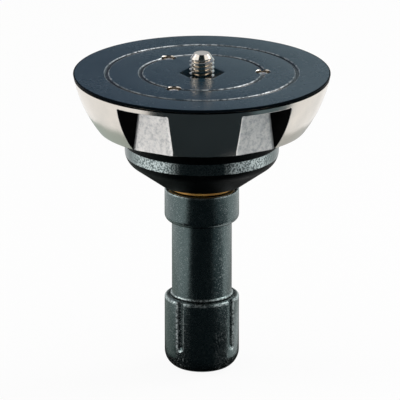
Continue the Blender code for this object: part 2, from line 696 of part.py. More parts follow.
def grip_sleeve(parent):
    """Moulded grip: a cup over the stem's foot, with a groove in each quarter."""
    inner = STEM_RADIUS + FIT_GAP
    head_hole = GRIP_SCREW_HEAD_RADIUS + FIT_GAP
    head_seat = GRIP_SCREW_RECESS + GRIP_SCREW_HEAD + SEAT_GAP
    shank_hole = GRIP_SCREW_RADIUS + FIT_GAP
    profile = [(inner, GRIP_LENGTH), (GRIP_RADIUS - GRIP_EDGE, GRIP_LENGTH),
               (GRIP_RADIUS, GRIP_LENGTH - GRIP_EDGE)]
    profile += foot_arc(GRIP_RADIUS, GRIP_FOOT, head_hole, 5)
    profile += [(head_hole, 0.0), (head_hole, head_seat), (shank_hole, head_seat),
                (shank_hole, GRIP_FLOOR), (inner, GRIP_FLOOR)]
    grip = turned("grip_sleeve", profile, MEDIUM_COUNT, ring=True)
    for index in range(GRIP_GROOVE_COUNT):
        angle = FIRST_GRIP_GROOVE_ANGLE + 360.0 / GRIP_GROOVE_COUNT * index
        combine(grip, groove_cutter(index + 1, angle))
    return finish(grip, BLACK_MOULDING, parent, 0.0)


def groove_cutter(index, angle):
    """A round-nosed cutter standing in the grip's wall, open past its top edge."""
    low = GRIP_LENGTH - GRIP_GROOVE_LENGTH
    profile = [(0.0, GRIP_LENGTH + OVERRUN), (GRIP_GROOVE_RADIUS, GRIP_LENGTH + OVERRUN)]
    profile += arc(0.0, low + GRIP_GROOVE_RADIUS, GRIP_GROOVE_RADIUS, 0.0, -90.0, 4)
    cutter = turned(f"grip_groove_{index}", profile, SMALL_COUNT, "cutters")
    axis = GRIP_RADIUS + GRIP_GROOVE_RADIUS - GRIP_GROOVE_DEPTH
    cutter.location = (*polar(axis, angle), 0.0)
    return cutter


def grip_screw(parent):
    seat = GRIP_SCREW_RECESS + GRIP_SCREW_HEAD
    length = STEM_BOTTOM + GRIP_SCREW_BITE - seat
    screw = cap_screw("grip_screw", GRIP_SCREW_RADIUS, length, GRIP_SCREW_HEAD_RADIUS,
                      GRIP_SCREW_HEAD, GRIP_SCREW_KEY)
    return finish(screw, ZINC, parent, seat)


def rod_stop(parent):
    """Washer and screw on the rod's end, wider than the nut's thread, so the handle stays on."""
    ring = washer("rod_stop_washer", STOP_SCREW_RADIUS + FIT_GAP, STEM_BORE - 2 * FIT_GAP,
                  STOP_WASHER_THICKNESS)
    finish(ring, ZINC, parent, STOP_WASHER_TOP - STOP_WASHER_THICKNESS)
    length = ROD_BOTTOM + STOP_SCREW_BITE - STOP_SCREW_SEAT
    screw = cap_screw("rod_stop_screw", STOP_SCREW_RADIUS, length, STOP_SCREW_HEAD_RADIUS,
                      STOP_SCREW_HEAD, STOP_SCREW_KEY)
    finish(screw, ZINC, parent, STOP_SCREW_SEAT)


def build():
    clear_scene()
    ball = group("ball", 0.0)
    cup = group("clamp_travel", CUP_BOTTOM, ball)
    handle = group("handle_turn", COLLAR_TOP, cup)
    half_ball(ball)
    top_plate(ball)
    tie_rod(ball)
    rod_fixings(ball)
    plate_screws(ball)
    rod_stop(ball)
    set_screws(ball)
    clamp_cup(cup)
    cup_bush(cup)
    thrust_washer(cup)
    handle_collar(handle)
    handle_nut(handle)
    handle_stem(handle)
    grip_sleeve(handle)
    grip_screw(handle)


build()
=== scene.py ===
"""The dressed half ball adapter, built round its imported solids.

+Z up the main axis, front towards -Y. Sizes are in millimetres and become metres when a skin is
made; finger pockets, finishes and the studio are in metres. The sections follow the object as it
is put together, from the ball down to the grip.
"""

from math import atan2, cos, pi, radians, sin, sqrt, tan

import bmesh
import bpy
import numpy as np
from mathutils import Matrix, Vector


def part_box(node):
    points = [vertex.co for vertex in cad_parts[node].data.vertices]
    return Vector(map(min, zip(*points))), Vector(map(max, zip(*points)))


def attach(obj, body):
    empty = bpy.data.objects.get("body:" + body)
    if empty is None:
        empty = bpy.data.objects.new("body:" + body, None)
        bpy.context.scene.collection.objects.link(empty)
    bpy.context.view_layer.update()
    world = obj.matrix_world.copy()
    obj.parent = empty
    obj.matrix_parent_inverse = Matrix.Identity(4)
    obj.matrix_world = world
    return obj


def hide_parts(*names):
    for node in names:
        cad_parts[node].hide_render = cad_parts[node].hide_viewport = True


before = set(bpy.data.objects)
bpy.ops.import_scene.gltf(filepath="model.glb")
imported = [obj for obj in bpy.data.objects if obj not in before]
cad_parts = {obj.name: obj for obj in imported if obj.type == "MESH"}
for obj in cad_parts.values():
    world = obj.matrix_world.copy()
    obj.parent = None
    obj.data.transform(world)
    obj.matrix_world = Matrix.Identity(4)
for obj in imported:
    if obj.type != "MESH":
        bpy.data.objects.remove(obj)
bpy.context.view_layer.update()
MM = 0.001


# Half ball. An aluminium casting, turned on its sphere, base and top recess. The four finger
# pockets and the six bays under it keep the rough skin of the mould, with their edges broken.
def levels(node):
    """The foot and the top of a solid, in millimetres."""
    low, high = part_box(node)
    return low.z / MM, high.z / MM


BALL_BOTTOM, BALL_TOP = levels("half_ball")
PLATE_BOTTOM, PLATE_TOP = levels("top_plate")
BALL_RADIUS = 50.0
BALL_CENTRE = PLATE_TOP + 9.0
BALL_EDGE = 0.35
RECESS_FLOOR = PLATE_TOP - 3.8
RECESS_RADIUS = 35.3
BAY_ROOF = RECESS_FLOOR - 8.2
BAY_RADIUS = 34.0
RIB_HALF = 2.0
HUB_BOTTOM = BALL_BOTTOM + 3.0
HUB_RADIUS = 13.0
HUB_RECESS = 14.5
HEX_SEAT = PLATE_TOP - 8.0
HEX_ROOM = 8.55
HEX_TURN = 2.0
AXIS_BORE = 6.3
SET_SCREW_ANGLES = (3.0, 123.0, 243.0)
SET_SCREW_CIRCLE = 23.4
SET_SCREW_HOLE = 2.8
PLATE_SCREW_ANGLES = (65.0, 185.0, 305.0)
PLATE_SCREW_CIRCLE = 28.0
PLATE_SCREW_HOLE = 2.3
CREASE = 24.0
ROUND_STEPS = 6


def softened(corners, closed=True):
    """Profile points (radius, height), each corner rounded by its third number."""
    points = []
    corners = np.array(list(corners)) * MM
    for i, (r, z, rounding) in enumerate(corners):
        here = Vector((r, z))
        at_end = not closed and i in (0, len(corners) - 1)
        if not rounding or at_end:
            points.append((r, z))
            continue
        back = (Vector(corners[i - 1][:2]) - here).normalized()
        ahead = (Vector(corners[(i + 1) % len(corners)][:2]) - here).normalized()
        half = back.angle(ahead) / 2
        centre = here + (back + ahead).normalized() * rounding / sin(half)
        first = here + back * rounding / tan(half) - centre
        last = here + ahead * rounding / tan(half) - centre
        for k in range(ROUND_STEPS + 1):
            point = centre + first.lerp(last, k / ROUND_STEPS).normalized() * rounding
            points.append((point.x, point.y))
    return [(r / MM, z / MM) for r, z in points]


def placed(name, data):
    """A new object with this data, in the scene."""
    obj = bpy.data.objects.new(name, data)
    bpy.context.scene.collection.objects.link(obj)
    return obj


def skinned(name, rows, closed=False):
    """A body with its skin through rows of points, in millimetres, and its faces outwards.

    A row of one point closes an end; a closed body goes on from its last row to its first.
    """
    bm = bmesh.new()
    made = []
    for row in np.array(rows) * MM:
        if np.ptp(row, axis=0).max() < 1e-9:
            made.append([bm.verts.new(row[0])] * len(row))
        else:
            made.append([bm.verts.new(point) for point in row])
    following = made[1:] + made[:1] if closed else made[1:]
    for low, high in zip(made, following):
        for i in range(len(low)):
            j = (i + 1) % len(low)
            bm.faces.new(tuple(dict.fromkeys((low[i], low[j], high[j], high[i]))))
    if not closed:
        for row in (made[0], made[-1]):
            if len(set(row)) > 2:
                bm.faces.new(row)
    bmesh.ops.remove_doubles(bm, verts=bm.verts, dist=0.0005 * MM)
    bmesh.ops.recalc_face_normals(bm, faces=bm.faces)
    mesh = bpy.data.meshes.new(name)
    bm.to_mesh(mesh)
    bm.free()
    return placed(name, mesh)


def turned(name, profile, segments=192, closed=True, place=(0.0, 0.0), turn=0.0):
    """A profile swept round an upright axis.

    Each point is (radius, height), as one number or as one number for each segment. A closed
    profile is the section of a ring; any other starts and ends on the axis.
    """
    angles = radians(turn) + np.arange(segments) * 2 * pi / segments
    rows = []
    for radius, height in profile:
        rows.append(np.column_stack((place[0] + radius * np.cos(angles),
                                     place[1] + radius * np.sin(angles),
                                     np.broadcast_to(height, segments))))
    return skinned(name, rows, closed)


def slab(name, outline, low, high):
    """An upright block with a flat outline in X and Y."""
    return skinned(name, [[(x, y, z) for x, y in outline] for z in (low, high)])


def polar(radius, angle):
    return radius * cos(radians(angle)), radius * sin(radians(angle))


def sphere_radius(level):
    return sqrt(BALL_RADIUS ** 2 - (BALL_CENTRE - level) ** 2)


class Value:
    """An output in a node tree. Arithmetic on it adds the nodes that work the result out."""

    def __init__(self, tree, socket):
        self.tree = tree
        self.socket = socket

    def __getitem__(self, name):
        """An output of the same node, by its name or its number."""
        return Value(self.tree, self.socket.node.outputs[name])

    def calc(self, operation, *others):
        return add(self.tree, "ShaderNodeMath", dict(enumerate((self, *others))),
                   operation=operation)

    def __add__(self, other):
        return self.calc("ADD", other)

    def __sub__(self, other):
        return self.calc("SUBTRACT", other)

    def __mul__(self, other):
        return self.calc("MULTIPLY", other)

    def __truediv__(self, other):
        return self.calc("DIVIDE", other)

    def __abs__(self):
        return self.calc("ABSOLUTE")

    def most(self, other):
        return self.calc("MAXIMUM", other)

    def least(self, other):
        return self.calc("MINIMUM", other)

    def ranged(self, low, high, out_low=0.0, out_high=1.0):
        """This range stretched onto another one, and held at its ends."""
        names = ("Value", "From Min", "From Max", "To Min", "To Max")
        values = (self, low, high, out_low, out_high)
        return add(self.tree, "ShaderNodeMapRange", dict(zip(names, values)))

    def blend(self, first, second):
        """The colour that lies this share of the way from the first to the second."""
        ends = [(*end, 1.0) if isinstance(end, tuple) else end for end in (first, second)]
        return add(self.tree, "ShaderNodeMix", {0: self, 6: ends[0], 7: ends[1]}, 2,
                   data_type="RGBA")

    def grain(self, scale, detail=2.0, roughness=0.5):
        """Noise at these coordinates."""
        return add(self.tree, "ShaderNodeTexNoise", {
            "Vector": self, "Scale": scale, "Detail": detail, "Roughness": roughness})

    def cells(self, scale, **settings):
        return add(self.tree, "ShaderNodeTexVoronoi", {"Vector": self, "Scale": scale}, **settings)

    def parts(self):
        """The X, Y and Z of these coordinates."""
        return add(self.tree, "ShaderNodeSeparateXYZ", {0: self})

    def round_the_axis(self):
        """Coordinates that hold along a turning tool's path: radius, height and a little angle."""
        x, y, z = self.parts()
        return add(self.tree, "ShaderNodeCombineXYZ", {
            0: (x * x + y * y).calc("SQRT"), 1: z, 2: y.calc("ARCTAN2", x) * 0.0006})


def add(tree, kind, inputs=None, output=0, **settings):
    """One output of a new node, its settings made and its inputs joined or filled.

    A list joins several values to one input.
    """
    node = tree.nodes.new(kind)
    for name, value in settings.items():
        setattr(node, name, value)
    for name, given in (inputs or {}).items():
        for value in given if isinstance(given, list) else [given]:
            if isinstance(value, Value):
                tree.links.new(value.socket, node.inputs[name])
            else:
                node.inputs[name].default_value = value
    return Value(tree, node.outputs[output])


class Finish:
    """A material on object coordinates, its uniform values set directly on the shader."""

    def __init__(self, name, **uniform):
        self.material = bpy.data.materials.new(name)
        self.material.use_nodes = True
        self.tree = self.material.node_tree
        self.shader = self.tree.nodes["Principled BSDF"]
        for socket, value in uniform.items():
            self.shader.inputs[socket.replace("_", " ")].default_value = value
        self.where = add(self.tree, "ShaderNodeTexCoord", output="Object")

    def done(self, **joined):
        """The material, with what was worked out joined to its shader."""
        for socket, value in joined.items():
            self.tree.links.new(value.socket, self.shader.inputs[socket.replace("_", " ")])
        return self.material

    def relief(self, height, depth, strength):
        """Small relief, its height from 0 to 1 over a depth in metres."""
        return add(self.tree, "ShaderNodeBump", {
            "Height": height, "Distance": depth, "Strength": strength})


def turned_metal(name, colour, stain, smooth, rough, metallic=1.0):
    """Metal from the lathe: fine rings, a cloudy sheen and a few faint stains."""
    finish = Finish(name, Metallic=metallic)
    where = finish.where
    rings = where.round_the_axis().grain(5200.0, 3.0)
    clouds = where.grain(70.0, 3.0)
    specks = where.grain(900.0)
    return finish.done(
        Base_Color=clouds.ranged(0.35, 0.75).blend(colour, stain),
        Roughness=clouds.ranged(0.3, 0.7, smooth, rough) + specks.ranged(0.55, 0.8, 0.0, 0.06),
        Normal=finish.relief(rings, 0.004 * MM, 0.6))


def cast_metal():
    """The mould's skin: pale grey, grainy and blotched, with shallow pits."""
    finish = Finish("cast_alloy", Metallic=1.0)
    coarse = finish.where.grain(260.0, 4.0, 0.6)
    fine = finish.where.grain(1900.0, 3.0, 0.6)
    height = coarse * 0.5 + fine * 0.35 + finish.where.cells(1100.0) * 0.15
    return finish.done(
        Base_Color=coarse.ranged(0.3, 0.7).blend((0.80, 0.79, 0.77), (0.62, 0.62, 0.61)),
        Roughness=fine.ranged(0.3, 0.7, 0.36, 0.56),
        Normal=finish.relief(height, 0.10 * MM, 0.7))


def pocket_metal():
    """The pockets: pale and mottled, with painted shade that turns the walls facing the middle
    black.
    """
    finish = Finish("pocket_skin", Metallic=0.8, IOR=1.3)
    where = finish.where
    coarse = where.grain(620.0, 4.0, 0.7)
    fine = where.grain(2100.0, 3.0, 0.6)
    # Walls whose normal turns towards the middle get near-black colour: painted shade.
    outward = where.parts()[0].calc("SIGN") * where["Normal"].parts()[0]
    pale = (coarse * 0.06 + outward).ranged(-0.02, 0.16)
    tint = coarse.ranged(0.42, 0.66).blend((1.0, 0.98, 0.95), (0.62, 0.63, 0.63))
    return finish.done(
        Base_Color=pale.blend((0.004, 0.004, 0.004), tint),
        Roughness=fine.ranged(0.3, 0.7, 0.28, 0.44),
        Normal=finish.relief(coarse * 0.5 + fine * 0.5, 0.10 * MM, 0.7))


def new_group(name, **kinds):
    """A node group for bodies: its tree, and its named inputs."""
    tree = bpy.data.node_groups.new(name, "GeometryNodeTree")
    for label, kind in {"Body": "Geometry", **kinds}.items():
        tree.interface.new_socket(label.replace("_", " "), in_out="INPUT",
                                  socket_type="NodeSocket" + kind)
    tree.interface.new_socket("Body", in_out="OUTPUT", socket_type="NodeSocketGeometry")
    return tree, add(tree, "NodeGroupInput")


def ring_tree():
    """Geometry Nodes: a ring of tools about Z, cut out of a body or joined to it."""
    tree, given = new_group("tools_round_the_axis", Tool="Object", Places="Int",
                            First_Angle="Float", Leave_Out_Every="Int", Join="Bool",
                            Tool_Finish="Material")
    index = add(tree, "GeometryNodeInputIndex")
    step = add(tree, "ShaderNodeMath", {0: 2 * pi, 1: given["Places"]}, operation="DIVIDE")
    turn = index.calc("MULTIPLY_ADD", step, given["First Angle"])
    ring = add(tree, "GeometryNodeInstanceOnPoints", {
        "Points": add(tree, "GeometryNodePoints", {"Count": given["Places"]}),
        "Selection": (index + 1.0).calc("MODULO", given["Leave Out Every"]),
        "Instance": add(tree, "GeometryNodeObjectInfo", {"Object": given["Tool"]}, "Geometry"),
        "Rotation": add(tree, "ShaderNodeCombineXYZ", {"Z": turn})})
    tools = add(tree, "GeometryNodeRealizeInstances", {0: ring})
    tools = add(tree, "GeometryNodeSetMaterial", {
        "Geometry": tools, "Material": given["Tool Finish"]})
    cut = add(tree, "GeometryNodeMeshBoolean", {0: given["Body"], 1: tools},
              operation="DIFFERENCE", solver="EXACT")
    union = add(tree, "GeometryNodeMeshBoolean", {1: [given["Body"], tools]},
                operation="UNION", solver="EXACT")
    made = add(tree, "GeometryNodeSwitch", {0: given["Join"], 1: cut, 2: union},
               input_type="GEOMETRY")
    from_tool = add(tree, "GeometryNodeMaterialSelection", {"Material": given["Tool Finish"]})
    made = add(tree, "GeometryNodeRealizeInstances", {0: made})
    made = add(tree, "GeometryNodeSetMaterial", {
        "Geometry": made, "Selection": from_tool, "Material": given["Tool Finish"]})
    add_output(tree, made)
    return tree


def add_output(tree, made):
    tree.links.new(made.socket, tree.nodes.new("NodeGroupOutput").inputs[0])


def with_nodes(obj, tree, values):
    """Put a node tree on the piece, its named inputs set by their identifiers."""
    modifier = obj.modifiers.new(tree.name, "NODES")
    modifier.node_group = tree
    for item in tree.interface.items_tree:
        if item.in_out == "INPUT" and item.name in values:
            modifier[item.identifier] = values[item.name]


RING = ring_tree()
USED_TOOLS = []


def ring_of(obj, tool, places, first, finish, tool_finish=None, join=False, leave_out=0):
    """Cut or join a ring of tools; the tool itself is kept out of the render."""
    tool.hide_render = True
    USED_TOOLS.append(tool)
    if not obj.data.materials:
        obj.data.materials.append(finish)
    with_nodes(obj, RING, {
        "Tool": tool, "Places": places, "First Angle": radians(first), "Join": join,
        "Leave Out Every": leave_out or places + 1, "Tool Finish": tool_finish or finish})


def settled(obj, finish=None):
    """Turn the piece into a plain mesh, smooth but for its edges, and drop its tools."""
    depsgraph = bpy.context.evaluated_depsgraph_get()
    mesh = bpy.data.meshes.new_from_object(obj.evaluated_get(depsgraph))
    obj.modifiers.clear()
    obj.data = mesh
    mesh.name = obj.name
    if finish is not None:
        mesh.materials.clear()
        mesh.materials.append(finish)
    mesh.shade_smooth()
    mesh.set_sharp_from_angle(angle=radians(CREASE))
    while USED_TOOLS:
        bpy.data.objects.remove(USED_TOOLS.pop(), do_unlink=True)
    return obj


def dressed(obj, body, slot, *nodes):
    """The finished piece rides with its body and stands for its solids."""
    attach(obj, body)
    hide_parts(*nodes)


POCKET_FLOOR = 38.5 * MM
POCKET_FILLET = 1.7 * MM
POCKET_MOUTH = 0.65 * MM
POCKET_SHARP = 0.35 * MM
POCKET_SPACING = 0.8 * MM
POCKET_HALF_TOP = 6.3 * MM
POCKET_HALF_BASE = 8.6 * MM
MOUTH_SPARE = 0.05


def core_outline(corners):
    """Points of a rounded outline, with what a flared core needs to grow outwards from them.

    The corners run clockwise as (across, up, flare of the side that follows). Each point comes
    with the way that its side faces, its drift for each metre outwards, and the push that
    sharpens a corner again at the mouth.
    """
    count = len(corners)
    ways = []
    for i in range(count):
        side = Vector(corners[(i + 1) % count][:2]) - Vector(corners[i][:2])
        ways.append(Vector((-side.y, side.x)).normalized())
    arcs = []
    for i in range(count):
        before, after = ways[i - 1], ways[i]
        lean_before, lean_after = (tan(radians(corners[k][2])) for k in (i - 1, i))
        drift = Vector((lean_before * after.y - lean_after * before.y,
                        lean_after * before.x - lean_before * after.x)) / before.cross(after)
        reach = (before + after) / (1 + before.dot(after))
        centre = Vector(corners[i][:2]) - reach * POCKET_FILLET
        arc = []
        for k in range(ROUND_STEPS + 1):
            way = before.lerp(after, k / ROUND_STEPS).normalized()
            push = (reach - way) * (POCKET_FILLET - POCKET_SHARP)
            arc.append((centre + way * POCKET_FILLET, way, drift, push))
        arcs.append(arc)
    outline = []
    for i, arc in enumerate(arcs):
        outline += arc
        start, following = arc[-1], arcs[(i + 1) % count][0]
        steps = max(1, round((following[0] - start[0]).length / POCKET_SPACING))
        for k in range(1, steps):
            point, drift = (start[n].lerp(following[n], k / steps) for n in (0, 2))
            outline.append((point, ways[i], drift, Vector((0.0, 0.0))))
    return outline


def to_sphere(offset, along):
    """How far it is along a way to a sphere just outside the ball."""
    b = along.dot(offset)
    room = b * b - offset.length_squared + ((BALL_RADIUS + MOUTH_SPARE) * MM) ** 2
    travel = -b + sqrt(room) if room > 0 else 0.0
    return max(travel, 0.1 * MM)


def pocket_line(point, way, drift, push):
    """One line of a pocket's core, from its floor up its wall and out over its rounded mouth."""
    flare = atan2(drift.dot(way), 1.0)
    out, side = Vector((1.0, 0.0, 0.0)), Vector((0.0, way.x, way.y))
    root = Vector((POCKET_FLOOR, point.x, point.y))
    inset = POCKET_FILLET * (sin(flare) - 1) / cos(flare)
    line = []
    for k in range(ROUND_STEPS + 1):
        a = (pi / 2 - flare) * k / ROUND_STEPS
        line.append(root + out * POCKET_FILLET * (1 - cos(a))
                    + side * (inset + POCKET_FILLET * sin(a)))
    start = line[-1]
    along = (out + Vector((0.0, drift.x, drift.y))).normalized()
    centre = Vector((0.0, 0.0, BALL_CENTRE * MM))
    offset = start - centre
    reached = along * to_sphere(offset, along) + Vector((0.0, push.x, push.y))
    along = reached.normalized()
    travel = to_sphere(offset, along)
    mouth = start + along * travel
    up = (mouth - centre).normalized()
    away = (side - up * side.dot(up)).normalized()
    half = (-along).angle(away) / 2
    rounding = min(POCKET_MOUTH, 0.9 * travel * tan(half))
    middle = mouth + (away - along).normalized() * rounding / sin(half)
    first = mouth - along * rounding / tan(half) - middle
    last = mouth + away * rounding / tan(half) - middle
    for k in range(ROUND_STEPS + 1):
        line.append(middle + first.lerp(last, k / ROUND_STEPS).normalized() * rounding)
    line.append(line[-1] + away * 0.6 * MM + up * 1.2 * MM)
    line.append(Vector(((BALL_RADIUS + 6.0) * MM, line[-1].y, line[-1].z)))
    return line


def pocket_core():
    """The core of a finger pocket, four-sided, wider and open towards the ball's base."""
    roof = (BALL_TOP - 2.9) * MM
    foot = (BALL_BOTTOM - 7.0) * MM
    widening = (POCKET_HALF_BASE - POCKET_HALF_TOP) / (roof - BALL_BOTTOM * MM)
    half_foot = POCKET_HALF_TOP + widening * (roof - foot)
    corners = [(-half_foot, foot, 28.0), (-POCKET_HALF_TOP, roof, 4.0),
               (POCKET_HALF_TOP, roof, 28.0), (half_foot, foot, 0.0)]
    lines = [pocket_line(*where) for where in core_outline(corners)]
    return skinned("pocket_core", np.array(lines).transpose(1, 0, 2) / MM)


def bevelled(obj, width, segments):
    """Round the edges of a tool by a modifier."""
    bevel = obj.modifiers.new("Fillet", "BEVEL")
    bevel.width = width * MM
    bevel.segments = segments
    return bevel


def bay_core():
    """The core of one bay between two ribs, its edges well rounded."""
    outline = []
    for radius, way, steps in ((BAY_RADIUS, 1, 24), (HUB_RADIUS, -1, 12)):
        reach = 30.0 - np.degrees(np.arcsin(RIB_HALF / radius))
        outline += [polar(radius, way * reach * (2 * i / steps - 1)) for i in range(steps + 1)]
    core = slab("bay_core", outline, BALL_BOTTOM - 4.0, BAY_ROOF)
    bevel = bevelled(core, 2.0, 5)
    bevel.limit_method = "ANGLE"
    bevel.angle_limit = radians(35.0)
    return core


def drilled(obj, circle, radius, angles, low, high, finish, mouth=0.0):
    """Drill a ring of evenly spaced holes, with a small countersink at the top if asked for."""
    profile = [(0.0, low), (radius, low), (radius, high - mouth)]
    if mouth:
        profile.append((radius + 2 * mouth, high + mouth))
    profile.append((profile[-1][0], high + 2.0))
    profile.append((0.0, high + 2.0))
    drill = turned("drill", profile, 48, closed=False, place=(circle, 0.0))
    ring_of(obj, drill, len(angles), angles[0], finish)


ball_skin = turned_metal("turned_alloy", (0.80, 0.745, 0.675), (0.68, 0.645, 0.59), 0.15, 0.24)
mould_skin = cast_metal()
rim = sphere_radius(BALL_TOP)
base = sphere_radius(BALL_BOTTOM)
profile = softened([(AXIS_BORE, HEX_SEAT, 0.2), (HEX_ROOM, HEX_SEAT, 0.1),
                    (HEX_ROOM, RECESS_FLOOR, 0.3), (RECESS_RADIUS, RECESS_FLOOR, 0.2),
                    (RECESS_RADIUS, BALL_TOP, 0.25), (rim - 0.4, BALL_TOP, 0.1)])
for level in np.linspace(BALL_TOP - BALL_EDGE, BALL_BOTTOM + BALL_EDGE, 31):
    profile.append((sphere_radius(level), level))
profile += softened([(base, BALL_BOTTOM + BALL_EDGE, 0.0), (base - 0.4, BALL_BOTTOM, 0.1),
                     (HUB_RECESS, BALL_BOTTOM, 0.3), (HUB_RECESS, HUB_BOTTOM, 0.3),
                     (AXIS_BORE, HUB_BOTTOM, 0.3), (AXIS_BORE, HEX_SEAT, 0.0)])[1:-1]
ball = turned("ball_casting", profile, 240)
ring_of(ball, bay_core(), 6, 65.0, ball_skin, mould_skin)
ring_of(ball, pocket_core(), 6, -118.5, ball_skin, pocket_metal(), leave_out=3)
for circle, hole, angles in ((SET_SCREW_CIRCLE, SET_SCREW_HOLE, SET_SCREW_ANGLES),
                             (PLATE_SCREW_CIRCLE, PLATE_SCREW_HOLE, PLATE_SCREW_ANGLES)):
    drilled(ball, circle, hole, angles, BAY_ROOF - 2.0, RECESS_FLOOR, ball_skin)
settled(ball)
dressed(ball, "ball", "ball_alloy", "half_ball")

# Top plate. A turned aluminium disc, dark anodised, that drops into the ball's recess. Two grooves
# in its face give a head's base something to bite on, and its outer edge is matt.
PLATE_RIM = PLATE_TOP - 1.0
SPIGOT_RADIUS = 35.0
HOLE_FLATS = 14.9
HOLE_EDGE = 0.25
GROOVE_RADII = (23.4, 36.4)
GROOVE_REACH = (0.95, 0.22)
GROOVE_DEPTH = 0.6
MATT_EDGE = 0.55
FACE_START = 9.4
UNDERSIDE_START = 12.0
WEAR_AND_HIGHLIGHT_WAY = 121.0


def anodised(name, index, darkened=0.0):
    """Dark blue-grey oxide with faint turning rings, rubbed bare along the grooves' edges, with a
    painted highlight on them towards the back left and the front right and painted shade inside the
    grooves.
    """
    finish = Finish(name, IOR=index)
    where = finish.where
    along = where.round_the_axis()
    rings = along.grain(3600.0)
    clouds = where.grain(45.0, 3.0, 0.6)
    marks = where.grain(520.0, 4.0, 0.7)
    tint = clouds.ranged(0.35, 0.7).blend((0.005, 0.022, 0.036), (0.009, 0.028, 0.043))
    tint = marks.ranged(0.62, 0.8, 0.0, 0.35).blend(tint, (0.030, 0.050, 0.070))
    radius = along.parts()[0]
    # The bare edges are brightest towards the back left and the front right: a painted highlight
    # over the wear.
    aside = add(finish.tree, "ShaderNodeVectorMath", {0: where, 1: (*polar(1.0, WEAR_AND_HIGHLIGHT_WAY), 0.0)},
                "Value", operation="DOT_PRODUCT") / radius
    inner, outer = (abs(radius - line * MM) for line in GROOVE_RADII)
    off = inner.least(outer) - (GROOVE_REACH[0] - 0.10) * MM
    bare_and_highlight = abs(off).ranged(0.16 * MM, 0.28 * MM, 0.9, 0.0) * marks.ranged(0.42, 0.58, 0.1, 1.0)
    bare_and_highlight = bare_and_highlight * aside.ranged(-0.5, 0.5, 0.8, 1.25) * abs(aside).ranged(0.70, 0.90, 0.35, 1.0)
    # Darker inside the grooves: painted shade. A darkened finish is made dark all over.
    groove_shade_and_darkening = off.ranged(-0.30 * MM, -0.10 * MM, 1.0, 0.0).most(darkened)
    tint = groove_shade_and_darkening.blend(tint, (0.002, 0.004, 0.006))
    return finish.done(
        Base_Color=bare_and_highlight.blend(tint, (0.74, 0.79, 0.81)), Metallic=bare_and_highlight * 0.5,
        Roughness=clouds.ranged(0.3, 0.7, 0.22, 0.28) + marks.ranged(0.5, 0.8, 0.0, 0.05),
        Normal=finish.relief(rings, 0.003 * MM, 0.4))


def hex_radii(flats, segments, skimmed=0.985):
    """Radius of a hexagon at each segment, its corners just skimmed round."""
    from_flat = np.radians(np.arange(segments) * 360.0 / segments % 60.0 - 30.0)
    return np.minimum(flats / 2 / np.cos(from_flat), flats / 2 / cos(radians(30.0)) * skimmed)


def refinished(obj, finish, chosen):
    """Give the faces that are chosen by their centres a finish of their own."""
    obj.data.materials.append(finish)
    for face in obj.data.polygons:
        if chosen(face.center / MM):
            face.material_index = len(obj.data.materials) - 1


plate_skin = anodised("dark_anodised", 1.4)
top_radius = sphere_radius(PLATE_TOP)
hole = hex_radii(HOLE_FLATS, 288, 1.0)
profile = [(hole, PLATE_BOTTOM)]
for k in range(ROUND_STEPS + 1):
    angle = pi / 2 * k / ROUND_STEPS
    profile.append((hole + HOLE_EDGE * (1 - cos(angle)), PLATE_TOP - HOLE_EDGE * (1 - sin(angle))))
corners = [(FACE_START, PLATE_TOP, 0.0)]
for radius in GROOVE_RADII:
    for side, deep in ((-1, 0), (-1, 1), (1, 1), (1, 0)):
        corners.append((radius + side * GROOVE_REACH[deep], PLATE_TOP - deep * GROOVE_DEPTH, 0.12))
corners += [(top_radius - MATT_EDGE, PLATE_TOP, 0.0), (top_radius, PLATE_TOP, 0.22),
            (sphere_radius(PLATE_RIM), PLATE_RIM, 0.12), (SPIGOT_RADIUS, PLATE_RIM, 0.15),
            (SPIGOT_RADIUS, PLATE_BOTTOM, 0.3), (UNDERSIDE_START, PLATE_BOTTOM, 0.0)]
plate = turned("plate_disc", profile + softened(corners, closed=False), 288, turn=HEX_TURN)
plate.data.materials.append(plate_skin)
drilled(plate, SET_SCREW_CIRCLE, SET_SCREW_HOLE, SET_SCREW_ANGLES, PLATE_BOTTOM - 2.0, PLATE_TOP,
        ball_skin, mouth=0.2)
drilled(plate, PLATE_SCREW_CIRCLE, PLATE_SCREW_HOLE, PLATE_SCREW_ANGLES, PLATE_BOTTOM - 2.0,
        PLATE_BOTTOM + 0.3, plate_skin)
settled(plate)
refinished(plate, anodised("dark_anodised_edge", 1.04, 1.0),
           lambda centre: centre.xy.length > top_radius - MATT_EDGE)
dressed(plate, "ball", "plate_dark", "top_plate")

# Tie rod. One nickel plated steel piece: the 3/8 inch camera thread with its end faced off, a
# hexagon that sits in the ball, and the long M12 thread that the handle runs on.
ROD_BOTTOM, ROD_TOP = levels("tie_rod")
HEX_FLATS = 14.3
HEX_TOP = PLATE_TOP - 2.5
HEX_BOTTOM = HEX_TOP - 5.2
STUD_RADIUS = 9.525 / 2
STUD_PITCH = 25.4 / 16
TAPPED = 2.8
THREAD_ROWS = 12


